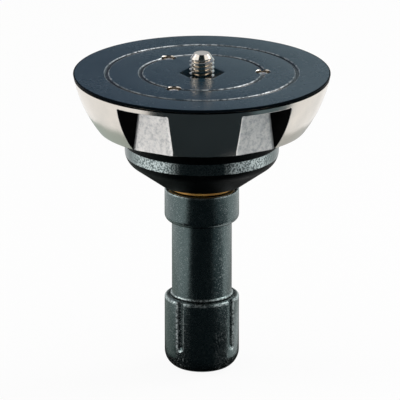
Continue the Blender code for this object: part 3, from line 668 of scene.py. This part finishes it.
def thread_tree():
    """Geometry Nodes: a screw thread with a bevelled end, joined to a body that it grows from."""
    sizes = ("Across", "Along", "Low", "High", "Crest_Radius", "Depth", "Pitch", "Low_Tip",
             "High_Tip", "Tip_Slope")
    tree, given = new_group("threaded_shank", **dict.fromkeys(sizes, "Float"), Segments="Int",
                            Finish="Material")
    low, high, pitch = (given[name] for name in ("Low", "High", "Pitch"))
    last = ((high - low) / pitch * THREAD_ROWS + 2.0 * THREAD_ROWS).calc("CEIL") + 2.0
    grid = add(tree, "GeometryNodeMeshGrid", {
        "Size X": 1.0, "Size Y": last, "Vertices X": given["Segments"] + 1.0,
        "Vertices Y": last + 1.0})
    x, y, _ = add(tree, "GeometryNodeInputPosition").parts()
    round_share = x + 0.5
    row = (last * 0.5 + y).calc("ROUND")
    climb = round_share + (row - 1.0) / THREAD_ROWS
    level = ((climb - 1.0) * pitch + low).most(low).least(high)
    from_low = level - low
    phase = (from_low / pitch - round_share).calc("FRACT")
    cut = abs(phase - 0.5).ranged(1 / THREAD_ROWS, 4 / THREAD_ROWS, 0.0, given["Depth"])
    radius = (given["Crest Radius"] - cut).least(given["Low Tip"] + from_low)
    radius = radius.least((high - level) * given["Tip Slope"] + given["High Tip"])
    radius = radius * row.calc("GREATER_THAN", 0.5) * row.calc("LESS_THAN", last - 0.5)
    angle = round_share * (2 * pi)
    spot = add(tree, "ShaderNodeCombineXYZ", {
        0: radius * angle.calc("COSINE") + given["Across"],
        1: radius * angle.calc("SINE") + given["Along"], 2: level})
    grid = add(tree, "GeometryNodeSetPosition", {"Geometry": grid, "Position": spot})
    grid = add(tree, "GeometryNodeMergeByDistance", {"Geometry": grid, "Distance": 0.002 * MM})
    union = add(tree, "GeometryNodeMeshBoolean", {1: [given["Body"], grid]},
                operation="UNION", solver="EXACT")
    made = add(tree, "GeometryNodeRealizeInstances", {0: union})
    add_output(tree, add(tree, "GeometryNodeSetMaterial", {
        "Geometry": made, "Material": given["Finish"]}))
    return tree


THREAD = thread_tree()


def threaded(obj, finish, low, high, radius, pitch, place=(0.0, 0.0), tips=(None, None),
             slope=1.0, segments=64):
    """Grow a thread between two levels; a tip is the radius of a bevelled end."""
    low_tip, high_tip = (radius if tip is None else tip for tip in tips)
    sizes = {"Across": place[0], "Along": place[1], "Low": low, "High": high,
             "Crest Radius": radius, "Depth": 0.56 * pitch, "Pitch": pitch, "Low Tip": low_tip,
             "High Tip": high_tip}
    with_nodes(obj, THREAD, {"Tip Slope": slope, "Segments": segments, "Finish": finish,
                             **{name: size * MM for name, size in sizes.items()}})


def hex_bar(flats, low, high):
    """Profile rows of a hexagon with both its ends bevelled, from its top face down."""
    radii = hex_radii(flats, 96)
    start = flats / 2 * 0.94
    drop = np.maximum(radii - start, 0.0) * tan(radians(30.0))
    return [(start, high), (radii, high - drop), (radii, low + drop), (start, low)]


def steel(name, colour, smooth, rough):
    """Plated steel: bright, a little cloudy, with fine handling scratches."""
    finish = Finish(name, Metallic=1.0)
    clouds = finish.where.grain(160.0, 3.0, 0.6)
    dull = tuple(0.72 * value for value in colour)
    return finish.done(
        Base_Color=clouds.ranged(0.4, 0.75).blend(colour, dull),
        Roughness=clouds.ranged(0.3, 0.7, smooth, rough),
        Normal=finish.relief(finish.where.grain(2600.0), 0.006 * MM, 0.5))


nickel = steel("nickel_plate", (0.90, 0.83, 0.74), 0.10, 0.18)
hexagon = hex_bar(HEX_FLATS, HEX_BOTTOM, HEX_TOP)
rod = turned("stud_and_rod", [(0.0, HEX_TOP)] + hexagon + [(0.0, HEX_BOTTOM)], 96, closed=False,
             turn=HEX_TURN)
threaded(rod, nickel, HEX_TOP - 1.0, ROD_TOP, STUD_RADIUS, STUD_PITCH, tips=(None, 2.9),
         slope=0.72, segments=96)
threaded(rod, nickel, ROD_BOTTOM, HEX_BOTTOM + 1.0, 6.0, 1.75, tips=(5.1, None))
drill = turned("tapping_drill", [(0.0, ROD_BOTTOM - 2.0), (TAPPED, ROD_BOTTOM - 2.0),
                                 (TAPPED, ROD_BOTTOM + 9.0), (0.0, ROD_BOTTOM + 10.4)],
               48, closed=False)
ring_of(rod, drill, 1, 0.0, nickel)
settled(rod)
faced_end = turned_metal("faced_end", (0.95, 0.88, 0.80), (0.85, 0.76, 0.66), 0.30, 0.40, 0.7)
refinished(rod, faced_end, lambda centre: centre.z > ROD_TOP - 0.01)
dressed(rod, "ball", "bright_steel", "tie_rod")


# Rod washer and rod nut. Zinc plated steel; they pull the rod's hexagon down on its seat in the
# ball's hub, and hide in the recess under the hub.
def ring_washer(name, node, inner, edge, finish):
    """A stamped ring with soft edges, as wide and as thick as its solid."""
    low, high = levels(node)
    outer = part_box(node)[1].x / MM
    corners = [(inner, low, edge), (inner, high, edge), (outer, high, edge), (outer, low, edge)]
    return settled(turned(name, softened(corners), 144), finish)


def hex_nut(name, node, flange=None, sleeve=None):
    """A 19 mm hexagon nut with a countersunk bore; a flanged one has a sleeve below its flange."""
    low, high = levels(node)
    mouth = 0.6
    shoulder = high - flange if flange else low
    profile = [(AXIS_BORE, low + mouth), (AXIS_BORE, high - mouth), (AXIS_BORE + mouth, high)]
    profile += hex_bar(19.0, shoulder, high)
    if sleeve:
        profile += [(sleeve, shoulder), (sleeve, low + 0.4), (sleeve - 0.4, low)]
    profile.append((AXIS_BORE + mouth, low))
    return settled(turned(name, profile, 96, turn=HEX_TURN), zinc)


zinc = steel("zinc_plate", (0.62, 0.64, 0.66), 0.26, 0.40)
washer = ring_washer("rod_washer", "tie_rod_washer", AXIS_BORE, 0.25, zinc)
dressed(washer, "ball", "zinc_steel", "tie_rod_washer")
nut = hex_nut("rod_nut", "tie_rod_nut")
dressed(nut, "ball", "zinc_steel", "tie_rod_nut")


# Plate screws. Three M4 socket screws of zinc plated steel. They are put in from the bays and
# hold the plate down in its recess.
def socket_screw(name, seat, tip, radius, pitch, head_radius, head, key, place=(0.0, 0.0)):
    """A socket head screw, head down, its shank threaded from just above the seat."""
    flats = hex_radii(key, 96)
    foot = seat - head
    corners = [(0.0, seat + 0.6, 0.0), (radius * 0.86, seat + 0.6, 0.0),
               (radius * 0.86, seat, 0.15), (head_radius, seat, 0.12), (head_radius, foot, 0.45),
               (key * 0.62, foot, 0.0)]
    profile = softened(corners, closed=False)
    profile += [(flats, foot + 0.25), (flats, foot + 1.6), (0.0, foot + 1.3)]
    screw = turned(name, profile, 96, closed=False, place=place, turn=HEX_TURN)
    threaded(screw, zinc, seat + 0.35, tip, radius, pitch, place, tips=(None, radius * 0.72),
             segments=48)
    return settled(screw)


for number, angle in enumerate(PLATE_SCREW_ANGLES, 1):
    node = f"plate_screw_{number}"
    screw = socket_screw(f"plate_fixing_{number}", BAY_ROOF - 0.3, levels(node)[1], 2.0, 0.7,
                         3.5, 2.6, 2.5, polar(PLATE_SCREW_CIRCLE, angle))
    dressed(screw, "ball", "zinc_steel", node)

# Set screws. Three M5 grub screws with ring points; a key from the bays lifts them through the
# plate so that they bite into whatever is screwed down on it.
for number, angle in enumerate(SET_SCREW_ANGLES, 1):
    node = f"set_screw_{number}"
    low, high = levels(node)
    flats = hex_radii(2.5, 96)
    corners = [(0.0, high - 0.7, 0.0), (1.15, high, 0.08), (1.75, high - 0.1, 0.1),
               (1.75, high - 1.3, 0.1), (2.15, high - 1.7, 0.0), (2.15, low, 0.1),
               (1.7, low, 0.0)]
    profile = softened(corners, closed=False)
    profile += [(flats, low + 0.3), (flats, low + 2.6), (0.0, low + 2.9)]
    screw = turned(f"point_screw_{number}", profile, 96, closed=False,
                   place=polar(SET_SCREW_CIRCLE, angle), turn=HEX_TURN)
    settled(screw, nickel)
    dressed(screw, "set_screw_" + "abc"[number - 1], "bright_steel", node)

# Clamp cup. A black glass filled moulding that is drawn up under the tripod bowl, with a boss and
# four webs inside. Its fine spark eroded grain is glossy only on the band that a hand holds, and
# matt above and below it. The band carries a painted grey-green sheen at its left and right.
CUP_BOTTOM, CUP_TOP = levels("clamp_cup")
CUP_RADIUS = 29.5
CUP_CONE = 36.0
CUP_SLOPE = tan(radians(CUP_CONE))
CUP_WALL = 3.2
CORNER_LEVEL = CUP_TOP - 12.0
CUP_FLOOR = CUP_BOTTOM + 4.5
BOSS_BORE, BOSS_RADIUS = 8.4, 11.5
BAND_LOW, BAND_HIGH = CORNER_LEVEL + 1.7, CUP_TOP - 5.8


def moulding(name, coarse, depth, gloss, highlight_bands=(), index=2.05, flecked_sheen=0.45, ends=1.0):
    """Black plastic: spark eroded grain, with a grey-green sheen painted on as pale metallic flecks
    at the left and right sides.

    Each highlight band is (radius, low, high, reach, share, share left in the middle), a band
    round the main axis with a painted highlight that is strongest at the two sides. The flecked
    share is the painted sheen everywhere else, and ends is the share of all painted sheen and
    highlight that is left at the far left and right.
    """
    finish = Finish(name, IOR=index, Specular_Tint=(0.72, 1.0, 1.0, 1.0))
    where = finish.where
    fine = where.grain(coarse * 2.2, 3.0, 0.65)
    clouds = where.grain(110.0, 3.0, 0.6)
    specks = where.grain(coarse * 0.9).ranged(0.42, 0.58, 0.10, 1.0)
    height = where.cells(coarse, feature="SMOOTH_F1") * 0.55 + fine * 0.45
    radius, level, _ = where.round_the_axis().parts()
    aside = abs(where.parts()[0]) / radius
    # Pale metallic flecks towards the left and right sides: a painted sheen.
    sheen_flecks = where.grain(coarse * 1.5).ranged(0.56, 0.72, 0.0, flecked_sheen)
    sheen_flecks = sheen_flecks * aside.ranged(0.3, 0.6, 0.05, 1.0)
    # Painted highlights on the bands asked for, strongest at the two sides.
    for wide, low, high, reach, share, middle in highlight_bands:
        beyond = abs(level - (low + high) / 2 * MM) - (high - low) / 2 * MM
        off = abs(radius - wide * MM).most(beyond)
        spot = off.ranged(0.4 * reach * MM, reach * MM, share, 0.0)
        sheen_flecks = sheen_flecks.most(spot * aside.ranged(0.28, 0.50, middle, 1.0) * specks)
    sheen_flecks = sheen_flecks * aside.ranged(0.77, 0.93, 1.0, ends)
    tint = height.ranged(0.35, 0.75).blend((0.0004, 0.0006, 0.0007), (0.0018, 0.0026, 0.0028))
    return finish.done(
        Base_Color=sheen_flecks.blend(tint, (0.76, 0.84, 0.84)), Metallic=sheen_flecks * 0.3,
        Roughness=fine.ranged(0.3, 0.7, gloss, gloss + 0.10) + clouds.ranged(0.35, 0.7, -0.02, 0.03),
        Normal=finish.relief(height, depth * MM, 0.8))


def cone_corner(wall, level, radius, steps):
    """The fillet where an upright wall of the cup turns into the cone below it."""
    fall = 90.0 - CUP_CONE
    centre = level + radius * tan(radians(fall / 2))
    arc = [polar(radius, -fall * k / steps) for k in range(steps + 1)]
    return [(wall - radius + x, centre + z, 0.0) for x, z in arc]


matt_skin = moulding("matt_black", 1700.0, 0.05, 0.34, index=1.12, flecked_sheen=0.02)
# The band gets a painted sheen of pale flecks at its left and right.
cup_skin = moulding("grained_black", 1700.0, 0.05, 0.20,
                    [(CUP_RADIUS, BAND_LOW, BAND_HIGH, 0.6, 1.0, 0.01)], ends=0.04)
rise = CUP_WALL / cos(radians(CUP_CONE))
inner = CUP_RADIUS - CUP_WALL
floor_edge = CUP_RADIUS - (CORNER_LEVEL + rise - CUP_FLOOR) / CUP_SLOPE
foot = CUP_RADIUS - (CORNER_LEVEL - CUP_BOTTOM) / CUP_SLOPE
boss_top = CUP_BOTTOM + 12.0
corners = [(inner, CUP_TOP, 0.3), (CUP_RADIUS, CUP_TOP, 0.45), (CUP_RADIUS, BAND_HIGH, 0.0)]
corners += cone_corner(CUP_RADIUS, CORNER_LEVEL, 6.5, 12)
corners += [(foot, CUP_BOTTOM, 0.5), (BOSS_BORE, CUP_BOTTOM, 0.3), (BOSS_BORE, boss_top, 0.3),
            (BOSS_RADIUS, boss_top, 0.5), (BOSS_RADIUS, CUP_FLOOR, 0.8),
            (floor_edge, CUP_FLOOR, 1.0)]
corners += reversed(cone_corner(inner, CORNER_LEVEL - CUP_WALL * CUP_SLOPE + rise, 3.3, 8))
cup = turned("cup_moulding", softened(corners), 240)
root = CUP_WALL / 2
web_top = boss_top - 1.0
web = [(10.0, CUP_FLOOR - root), (floor_edge, CUP_FLOOR - root),
       (inner + root, CORNER_LEVEL - (CUP_WALL - root) * CUP_SLOPE + root),
       (inner + root, web_top), (10.0, web_top)]
rib = slab("cup_web", web, -1.3, 1.3)
rib.data.transform(Matrix.Rotation(pi / 2, 4, "X"))
bevelled(rib, 0.3, 3)
ring_of(cup, rib, 4, 45.0, cup_skin, join=True)
settled(cup)
refinished(cup, matt_skin, lambda centre: not BAND_LOW < centre.z < BAND_HIGH)
dressed(cup, "cup", "black_moulding", "clamp_cup")

# Cup sleeve and thrust washer. The steel sleeve pressed into the boss runs on the rod, and the
# brass washer under the cup takes the handle's push.
sleeve = ring_washer("cup_sleeve", "cup_bush", AXIS_BORE, 0.3, zinc)
dressed(sleeve, "cup", "zinc_steel", "cup_bush")
brass = turned_metal("brass", (0.95, 0.56, 0.14), (0.66, 0.30, 0.07), 0.20, 0.34, 0.4)
washer = ring_washer("brass_washer", "thrust_washer", 6.6, 0.3, brass)
dressed(washer, "cup", "washer_brass", "thrust_washer")

# Handle collar and captive nut. The collar is moulded like the cup; its crown traps a flanged
# steel nut on the end of the stem.
COLLAR_BOTTOM, COLLAR_TOP = levels("handle_collar")
COLLAR_RADIUS = 14.3
COLLAR_HOLE = 7.0
MATT_FOOT = 0.85
SHOULDER = COLLAR_TOP - 7.7
SOCKET = 11.8


def rounded_foot(radius, foot, socket, level, steps=14):
    """The outside of a round foot, stopped where it meets the socket."""
    points = []
    for k in range(steps + 1):
        angle = pi / 2 * k / steps
        point = (radius - foot + foot * cos(angle), level + foot - foot * sin(angle), 0.0)
        if point[0] < socket:
            break
        points.append(point)
    depth = sqrt(foot ** 2 - (socket - radius + foot) ** 2) if socket > radius - foot else foot
    return points + [(socket, level + foot - depth, 0.0)]


nut_pocket = hex_radii(19.6, 144)
crown = COLLAR_TOP - 2.4
profile = softened([(COLLAR_HOLE, crown, 0.0), (COLLAR_HOLE, COLLAR_TOP, 0.3),
                    (COLLAR_RADIUS, COLLAR_TOP, 0.5)]
                   + rounded_foot(COLLAR_RADIUS, 2.6, SOCKET, COLLAR_BOTTOM)
                   + [(SOCKET, SHOULDER, 0.0)])
profile += [(nut_pocket, SHOULDER), (nut_pocket, crown)]
# A painted highlight along the crown's outer edge, strongest at the left and right.
collar_skin = moulding("grained_black_collar", 1700.0, 0.05, 0.20,
                       [(COLLAR_RADIUS, COLLAR_TOP - 0.2, COLLAR_TOP, 0.6, 0.6, 0.1)])
collar = turned("collar_moulding", profile, 144, turn=HEX_TURN)
settled(collar, collar_skin)
# The foot is matt and without the painted sheen: a darker line where the collar meets the stem, a
# painted shade.
refinished(collar, matt_skin, lambda centre: centre.z < COLLAR_BOTTOM + MATT_FOOT)
dressed(collar, "handle", "black_moulding", "handle_collar")
nut = hex_nut("captive_nut", "handle_nut", flange=5.0, sleeve=7.7)
dressed(nut, "handle", "zinc_steel", "handle_nut")

# Stem. A round aluminium bar, bored from the top for the rod and sprayed black all over, with a
# bead of the coating where the grip stops.
STEM_BOTTOM, STEM_TOP = levels("handle_stem")
GRIP_BOTTOM, GRIP_TOP = levels("grip_sleeve")
STEM_RADIUS = 11.5
STEM_BORE = 8.0
BORE_FLOOR = 29.75
BEAD_HEIGHT = 0.5
bead = GRIP_TOP + 0.65
# A painted highlight on the bead, strongest at the left and right.
coat = moulding("sprayed_black", 1500.0, 0.035, 0.20,
                [(STEM_RADIUS + 0.4, bead, bead, 0.6, 1.0, 0.3)])
corners = [(0.0, BORE_FLOOR - 1.5, 0.0), (STEM_BORE, BORE_FLOOR, 0.4), (STEM_BORE, STEM_TOP, 0.3),
           (STEM_RADIUS, STEM_TOP, 0.4), (STEM_RADIUS, bead + 0.60, 0.12)]
for k in range(9):
    x, z = polar(BEAD_HEIGHT, 75.0 - 150.0 * k / 8)
    corners.append((STEM_RADIUS + x, bead + z, 0.0))
corners += [(STEM_RADIUS, bead - 0.60, 0.0), (STEM_RADIUS, STEM_BOTTOM, 0.4),
            (TAPPED, STEM_BOTTOM, 0.3), (TAPPED, STEM_BOTTOM + 10.0, 0.0),
            (0.0, STEM_BOTTOM + 11.4, 0.0)]
stem = turned("stem_bar", softened(corners, closed=False), 144, closed=False)
settled(stem, coat)
dressed(stem, "handle", "black_coated_bar", "handle_stem")

# Grip. A black moulded cap over the stem's foot, with a groove in each quarter for the fingers
# and a rounded foot, held by one screw from below.
GRIP_RADIUS = 14.3
NOSE = 1.6
FINGER_DEPTH = 1.3
FINGER_MOUTH = 0.6
FINGER_LENGTH = 19.9


def groove_core():
    """The core of one groove: round below, straight up past the top, its edges rolled over."""
    axis = GRIP_RADIUS + NOSE - FINGER_DEPTH
    nose = GRIP_TOP - FINGER_LENGTH + NOSE
    section = []
    for k in range(13):
        depth = NOSE * cos(pi / 2 * k / 12)
        section.append((axis - depth, sqrt(max(0.0, NOSE ** 2 - depth ** 2))))
    lip = GRIP_RADIUS + 0.04
    section = [point for point in section if point[0] < lip - FINGER_MOUTH]
    edge = section[-1][1]
    for k in range(ROUND_STEPS):
        angle = pi / 2 * k / ROUND_STEPS
        section.append((lip - FINGER_MOUTH * cos(angle),
                        edge + FINGER_MOUTH * (1 - cos(angle)) + 0.12 * sin(angle)))
    section += [(lip, edge + FINGER_MOUTH + 0.12), (lip + 1.5, edge + FINGER_MOUTH + 0.5)]
    rows = []
    for x, half in section:
        arc = [polar(half, 180.0 + 180.0 * k / 16) for k in range(17)]
        rows.append([(x, y, nose + z) for y, z in arc]
                    + [(x, half, GRIP_TOP + 2.0), (x, -half, GRIP_TOP + 2.0)])
    return skinned("groove_core", rows)


# A painted highlight along the grip's top edge, strongest at the left and right, and one along the
# edges of the grooves.
grip_skin = moulding("grained_black_grip", 1600.0, 0.05, 0.20,
                     [(GRIP_RADIUS - 0.2, GRIP_TOP - 0.9, GRIP_TOP - 0.3, 0.45, 0.7, 0.2)])
groove_skin = moulding("rubbed_groove", 1600.0, 0.03, 0.20,
                       [(GRIP_RADIUS, GRIP_BOTTOM, GRIP_TOP, 0.85, 1.0, 0.9)])
head_hole = 4.7
head_seat = GRIP_BOTTOM + 3.3
grip_floor = GRIP_BOTTOM + 6.0
corners = [(SOCKET, grip_floor, 0.3), (SOCKET, GRIP_TOP, 0.3), (GRIP_RADIUS, GRIP_TOP, 0.9)]
corners += rounded_foot(GRIP_RADIUS, 7.0, head_hole, GRIP_BOTTOM)[:-1]
corners += [(head_hole, GRIP_BOTTOM, 0.3), (head_hole, head_seat, 0.2), (TAPPED, head_seat, 0.2),
            (TAPPED, grip_floor, 0.2)]
grip = turned("grip_moulding", softened(corners), 192)
ring_of(grip, groove_core(), 4, -127.0, grip_skin, groove_skin)
settled(grip)
dressed(grip, "handle", "black_moulding", "grip_sleeve")
screw = socket_screw("grip_fixing", GRIP_BOTTOM + 3.0, levels("grip_screw")[1], 2.5, 0.8, 4.4,
                     2.6, 3.0)
dressed(screw, "handle", "zinc_steel", "grip_screw")

# Rod stop. A washer and a screw in the rod's end, hidden in the stem, keep the handle from
# running off the rod.
washer = ring_washer("stop_washer", "rod_stop_washer", TAPPED, 0.25, zinc)
dressed(washer, "ball", "zinc_steel", "rod_stop_washer")
stop_low, stop_high = levels("rod_stop_screw")
screw = socket_screw("stop_screw", stop_low + 3.5, stop_high, 2.5, 0.8, 4.4, 3.5, 4.0)
dressed(screw, "ball", "zinc_steel", "rod_stop_screw")

# Studio. A pale floor in a white room, a soft lamp on each side and a large one overhead. Dark and
# pale cards round the object show only in the gloss, as flags and reflectors in a studio do.
ELEVATION = 17.9
CAMERA_DISTANCE = 3.0
PIXELS_PER_METRE = 2622.0
PICTURE_WIDTH = 400
AIM_HEIGHT = 0.0669
AIM_ACROSS = -0.0007
FLOOR_REACH = 4.0


def rays_to_white(tree):
    """1 for the rays that should find the background white: seen, mirrored or let through."""
    rays = add(tree, "ShaderNodeLightPath")
    return rays["Is Camera Ray"].most(rays["Is Glossy Ray"].most(rays["Is Transmission Ray"]))


def pale_room():
    """A white world for the camera, for gloss and through glass, and a calmer one as light."""
    world = bpy.data.worlds.new("white_room")
    bpy.context.scene.world = world
    world.use_nodes = True
    background = world.node_tree.nodes["Background"].inputs
    background["Color"].default_value = (1.0, 1.0, 1.0, 1.0)
    strength = rays_to_white(world.node_tree).ranged(0.0, 1.0, 0.45, 1.0)
    world.node_tree.links.new(strength.socket, background["Strength"])


def sheet(name, points, faces, material):
    mesh = bpy.data.meshes.new(name)
    mesh.from_pydata(points, [], faces)
    mesh.materials.append(material)
    return placed(name, mesh)


def studio_floor():
    """A pale floor that keeps the object's shadow, and is white in the picture and in the gloss."""
    finish = Finish("pale_floor", Roughness=0.9, IOR=1.2)
    tint = finish.where.grain(6.0).blend((0.90, 0.90, 0.90), (0.94, 0.94, 0.94))
    material = finish.done(Base_Color=tint)
    tree = finish.tree
    seen = add(tree, "ShaderNodeMixShader", {
        0: rays_to_white(tree) * 0.93, 1: Value(tree, finish.shader.outputs[0]),
        2: add(tree, "ShaderNodeEmission", {"Strength": 1.0})})
    tree.links.new(seen.socket, tree.nodes["Material Output"].inputs["Surface"])
    corners = [(x * FLOOR_REACH, y * FLOOR_REACH, 0.0)
               for x, y in ((-1, -1), (1, -1), (1, 1), (-1, 1))]
    floor = sheet("floor", corners, [(0, 1, 2, 3)], material)


def flag(name, rows, shade, right_shade=None):
    """A card, bent along its rows of (depth, height, left, right); only gloss sees it.

    A second shade takes over towards its lower right.
    """
    points = []
    for y, z, left, right in rows:
        points += [(left, y, z), (right, y, z)]
    faces = [(2 * k, 2 * k + 1, 2 * k + 3, 2 * k + 2) for k in range(len(rows) - 1)]
    finish = Finish("card_cloth", Roughness=1.0, IOR=1.0)
    x, _, z = finish.where.parts()
    across = (z * -1.5 + x).ranged(-0.28, -0.19)
    material = finish.done(Base_Color=across.blend(shade, right_shade or shade))
    card = sheet(name, points, faces, material)
    card.visible_camera = False
    card.visible_diffuse = False
    card.visible_shadow = False
    card.visible_transmission = False


def soft_lamp(name, azimuth, elevation, distance, size, radiance, colour, mirrored=True):
    """A square soft box that looks at the object; azimuth 0 is the front, 90 the right."""
    data = bpy.data.lights.new(name, "AREA")
    data.shape = "SQUARE"
    data.size = size
    data.color = colour
    data.energy = radiance * pi * size ** 2
    lamp = placed(name, data)
    lamp.visible_glossy = mirrored
    a, e = radians(azimuth), radians(elevation)
    way = Vector((sin(a) * cos(e), -cos(a) * cos(e), sin(e)))
    lamp.location = Vector((0.0, 0.0, AIM_HEIGHT)) + way * distance
    lamp.rotation_euler = way.to_track_quat("Z", "Y").to_euler()


pale_room()
studio_floor()
flag("front_flag", ((-0.011, 0.001, -0.088, 0.088), (-0.07, 0.001, -0.092, 0.088),
                    (-0.20, 0.001, -0.20, 0.18), (-0.70, 0.001, -0.66, 0.58),
                    (-0.70, 1.1, -0.66, 0.58), (-0.30, 1.4, -0.60, 0.55),
                    (0.10, 1.45, -0.50, 0.45)),
     (0.024, 0.034, 0.040))
flag("floor_strip", ((-0.011, 0.001, -0.02, 0.02), (0.05, 0.001, -0.035, 0.035),
                     (0.10, 0.001, -0.055, 0.055), (0.42, 0.001, -0.085, 0.085)),
     (0.006, 0.008, 0.008))
flag("left_card", ((-0.011, 0.001, -0.088, -0.02), (0.02, 0.001, -0.118, -0.025),
                   (0.11, 0.001, -0.125, -0.055), (0.25, 0.001, -0.085, -0.055)),
     (0.46, 0.53, 0.50))
flag("right_card", ((-0.011, 0.001, 0.088, 0.22), (-0.07, 0.001, 0.088, 0.26),
                    (-0.20, 0.001, 0.18, 0.34), (-0.70, 0.001, 0.58, 0.80)),
     (0.11, 0.16, 0.18))
flag("right_low_card", ((0.02, 0.001, 0.07, 0.11), (0.11, 0.001, 0.055, 0.115),
                        (0.25, 0.001, 0.055, 0.08)),
     (0.55, 0.57, 0.56))
flag("low_back_card", ((0.15, 0.0, -0.022, 0.022), (0.15, 0.128, -0.022, 0.022)),
     (0.02, 0.03, 0.03))
flag("back_card", ((0.15, 0.128, -0.20, 0.20), (0.15, 0.50, -0.20, 0.20)),
     (0.285, 0.335, 0.44), (0.74, 0.90, 0.98))
soft_lamp("left_lamp", -95.0, 24.0, 0.75, 0.26, 5.0, (1.0, 0.98, 0.95))
soft_lamp("right_lamp", 116.0, 44.0, 0.80, 0.32, 6.0, (1.0, 0.97, 0.95))
soft_lamp("top_lamp", 0.0, 88.0, 0.90, 0.80, 0.9, (1.0, 1.0, 1.0), mirrored=False)

camera_data = bpy.data.cameras.new("camera")
camera = placed("camera", camera_data)
back = Vector((0.0, -cos(radians(ELEVATION)), sin(radians(ELEVATION))))
camera.location = Vector((AIM_ACROSS, 0.0, AIM_HEIGHT)) + back * CAMERA_DISTANCE
camera.rotation_euler = back.to_track_quat("Z", "Y").to_euler()
plate_distance = CAMERA_DISTANCE - (PLATE_TOP * MM - AIM_HEIGHT) * sin(radians(ELEVATION))
camera_data.sensor_width = 36.0
camera_data.lens = PIXELS_PER_METRE * plate_distance * camera_data.sensor_width / PICTURE_WIDTH
camera_data.clip_end = 20.0
bpy.context.scene.camera = camera
bpy.context.scene.view_settings.view_transform = "Standard"
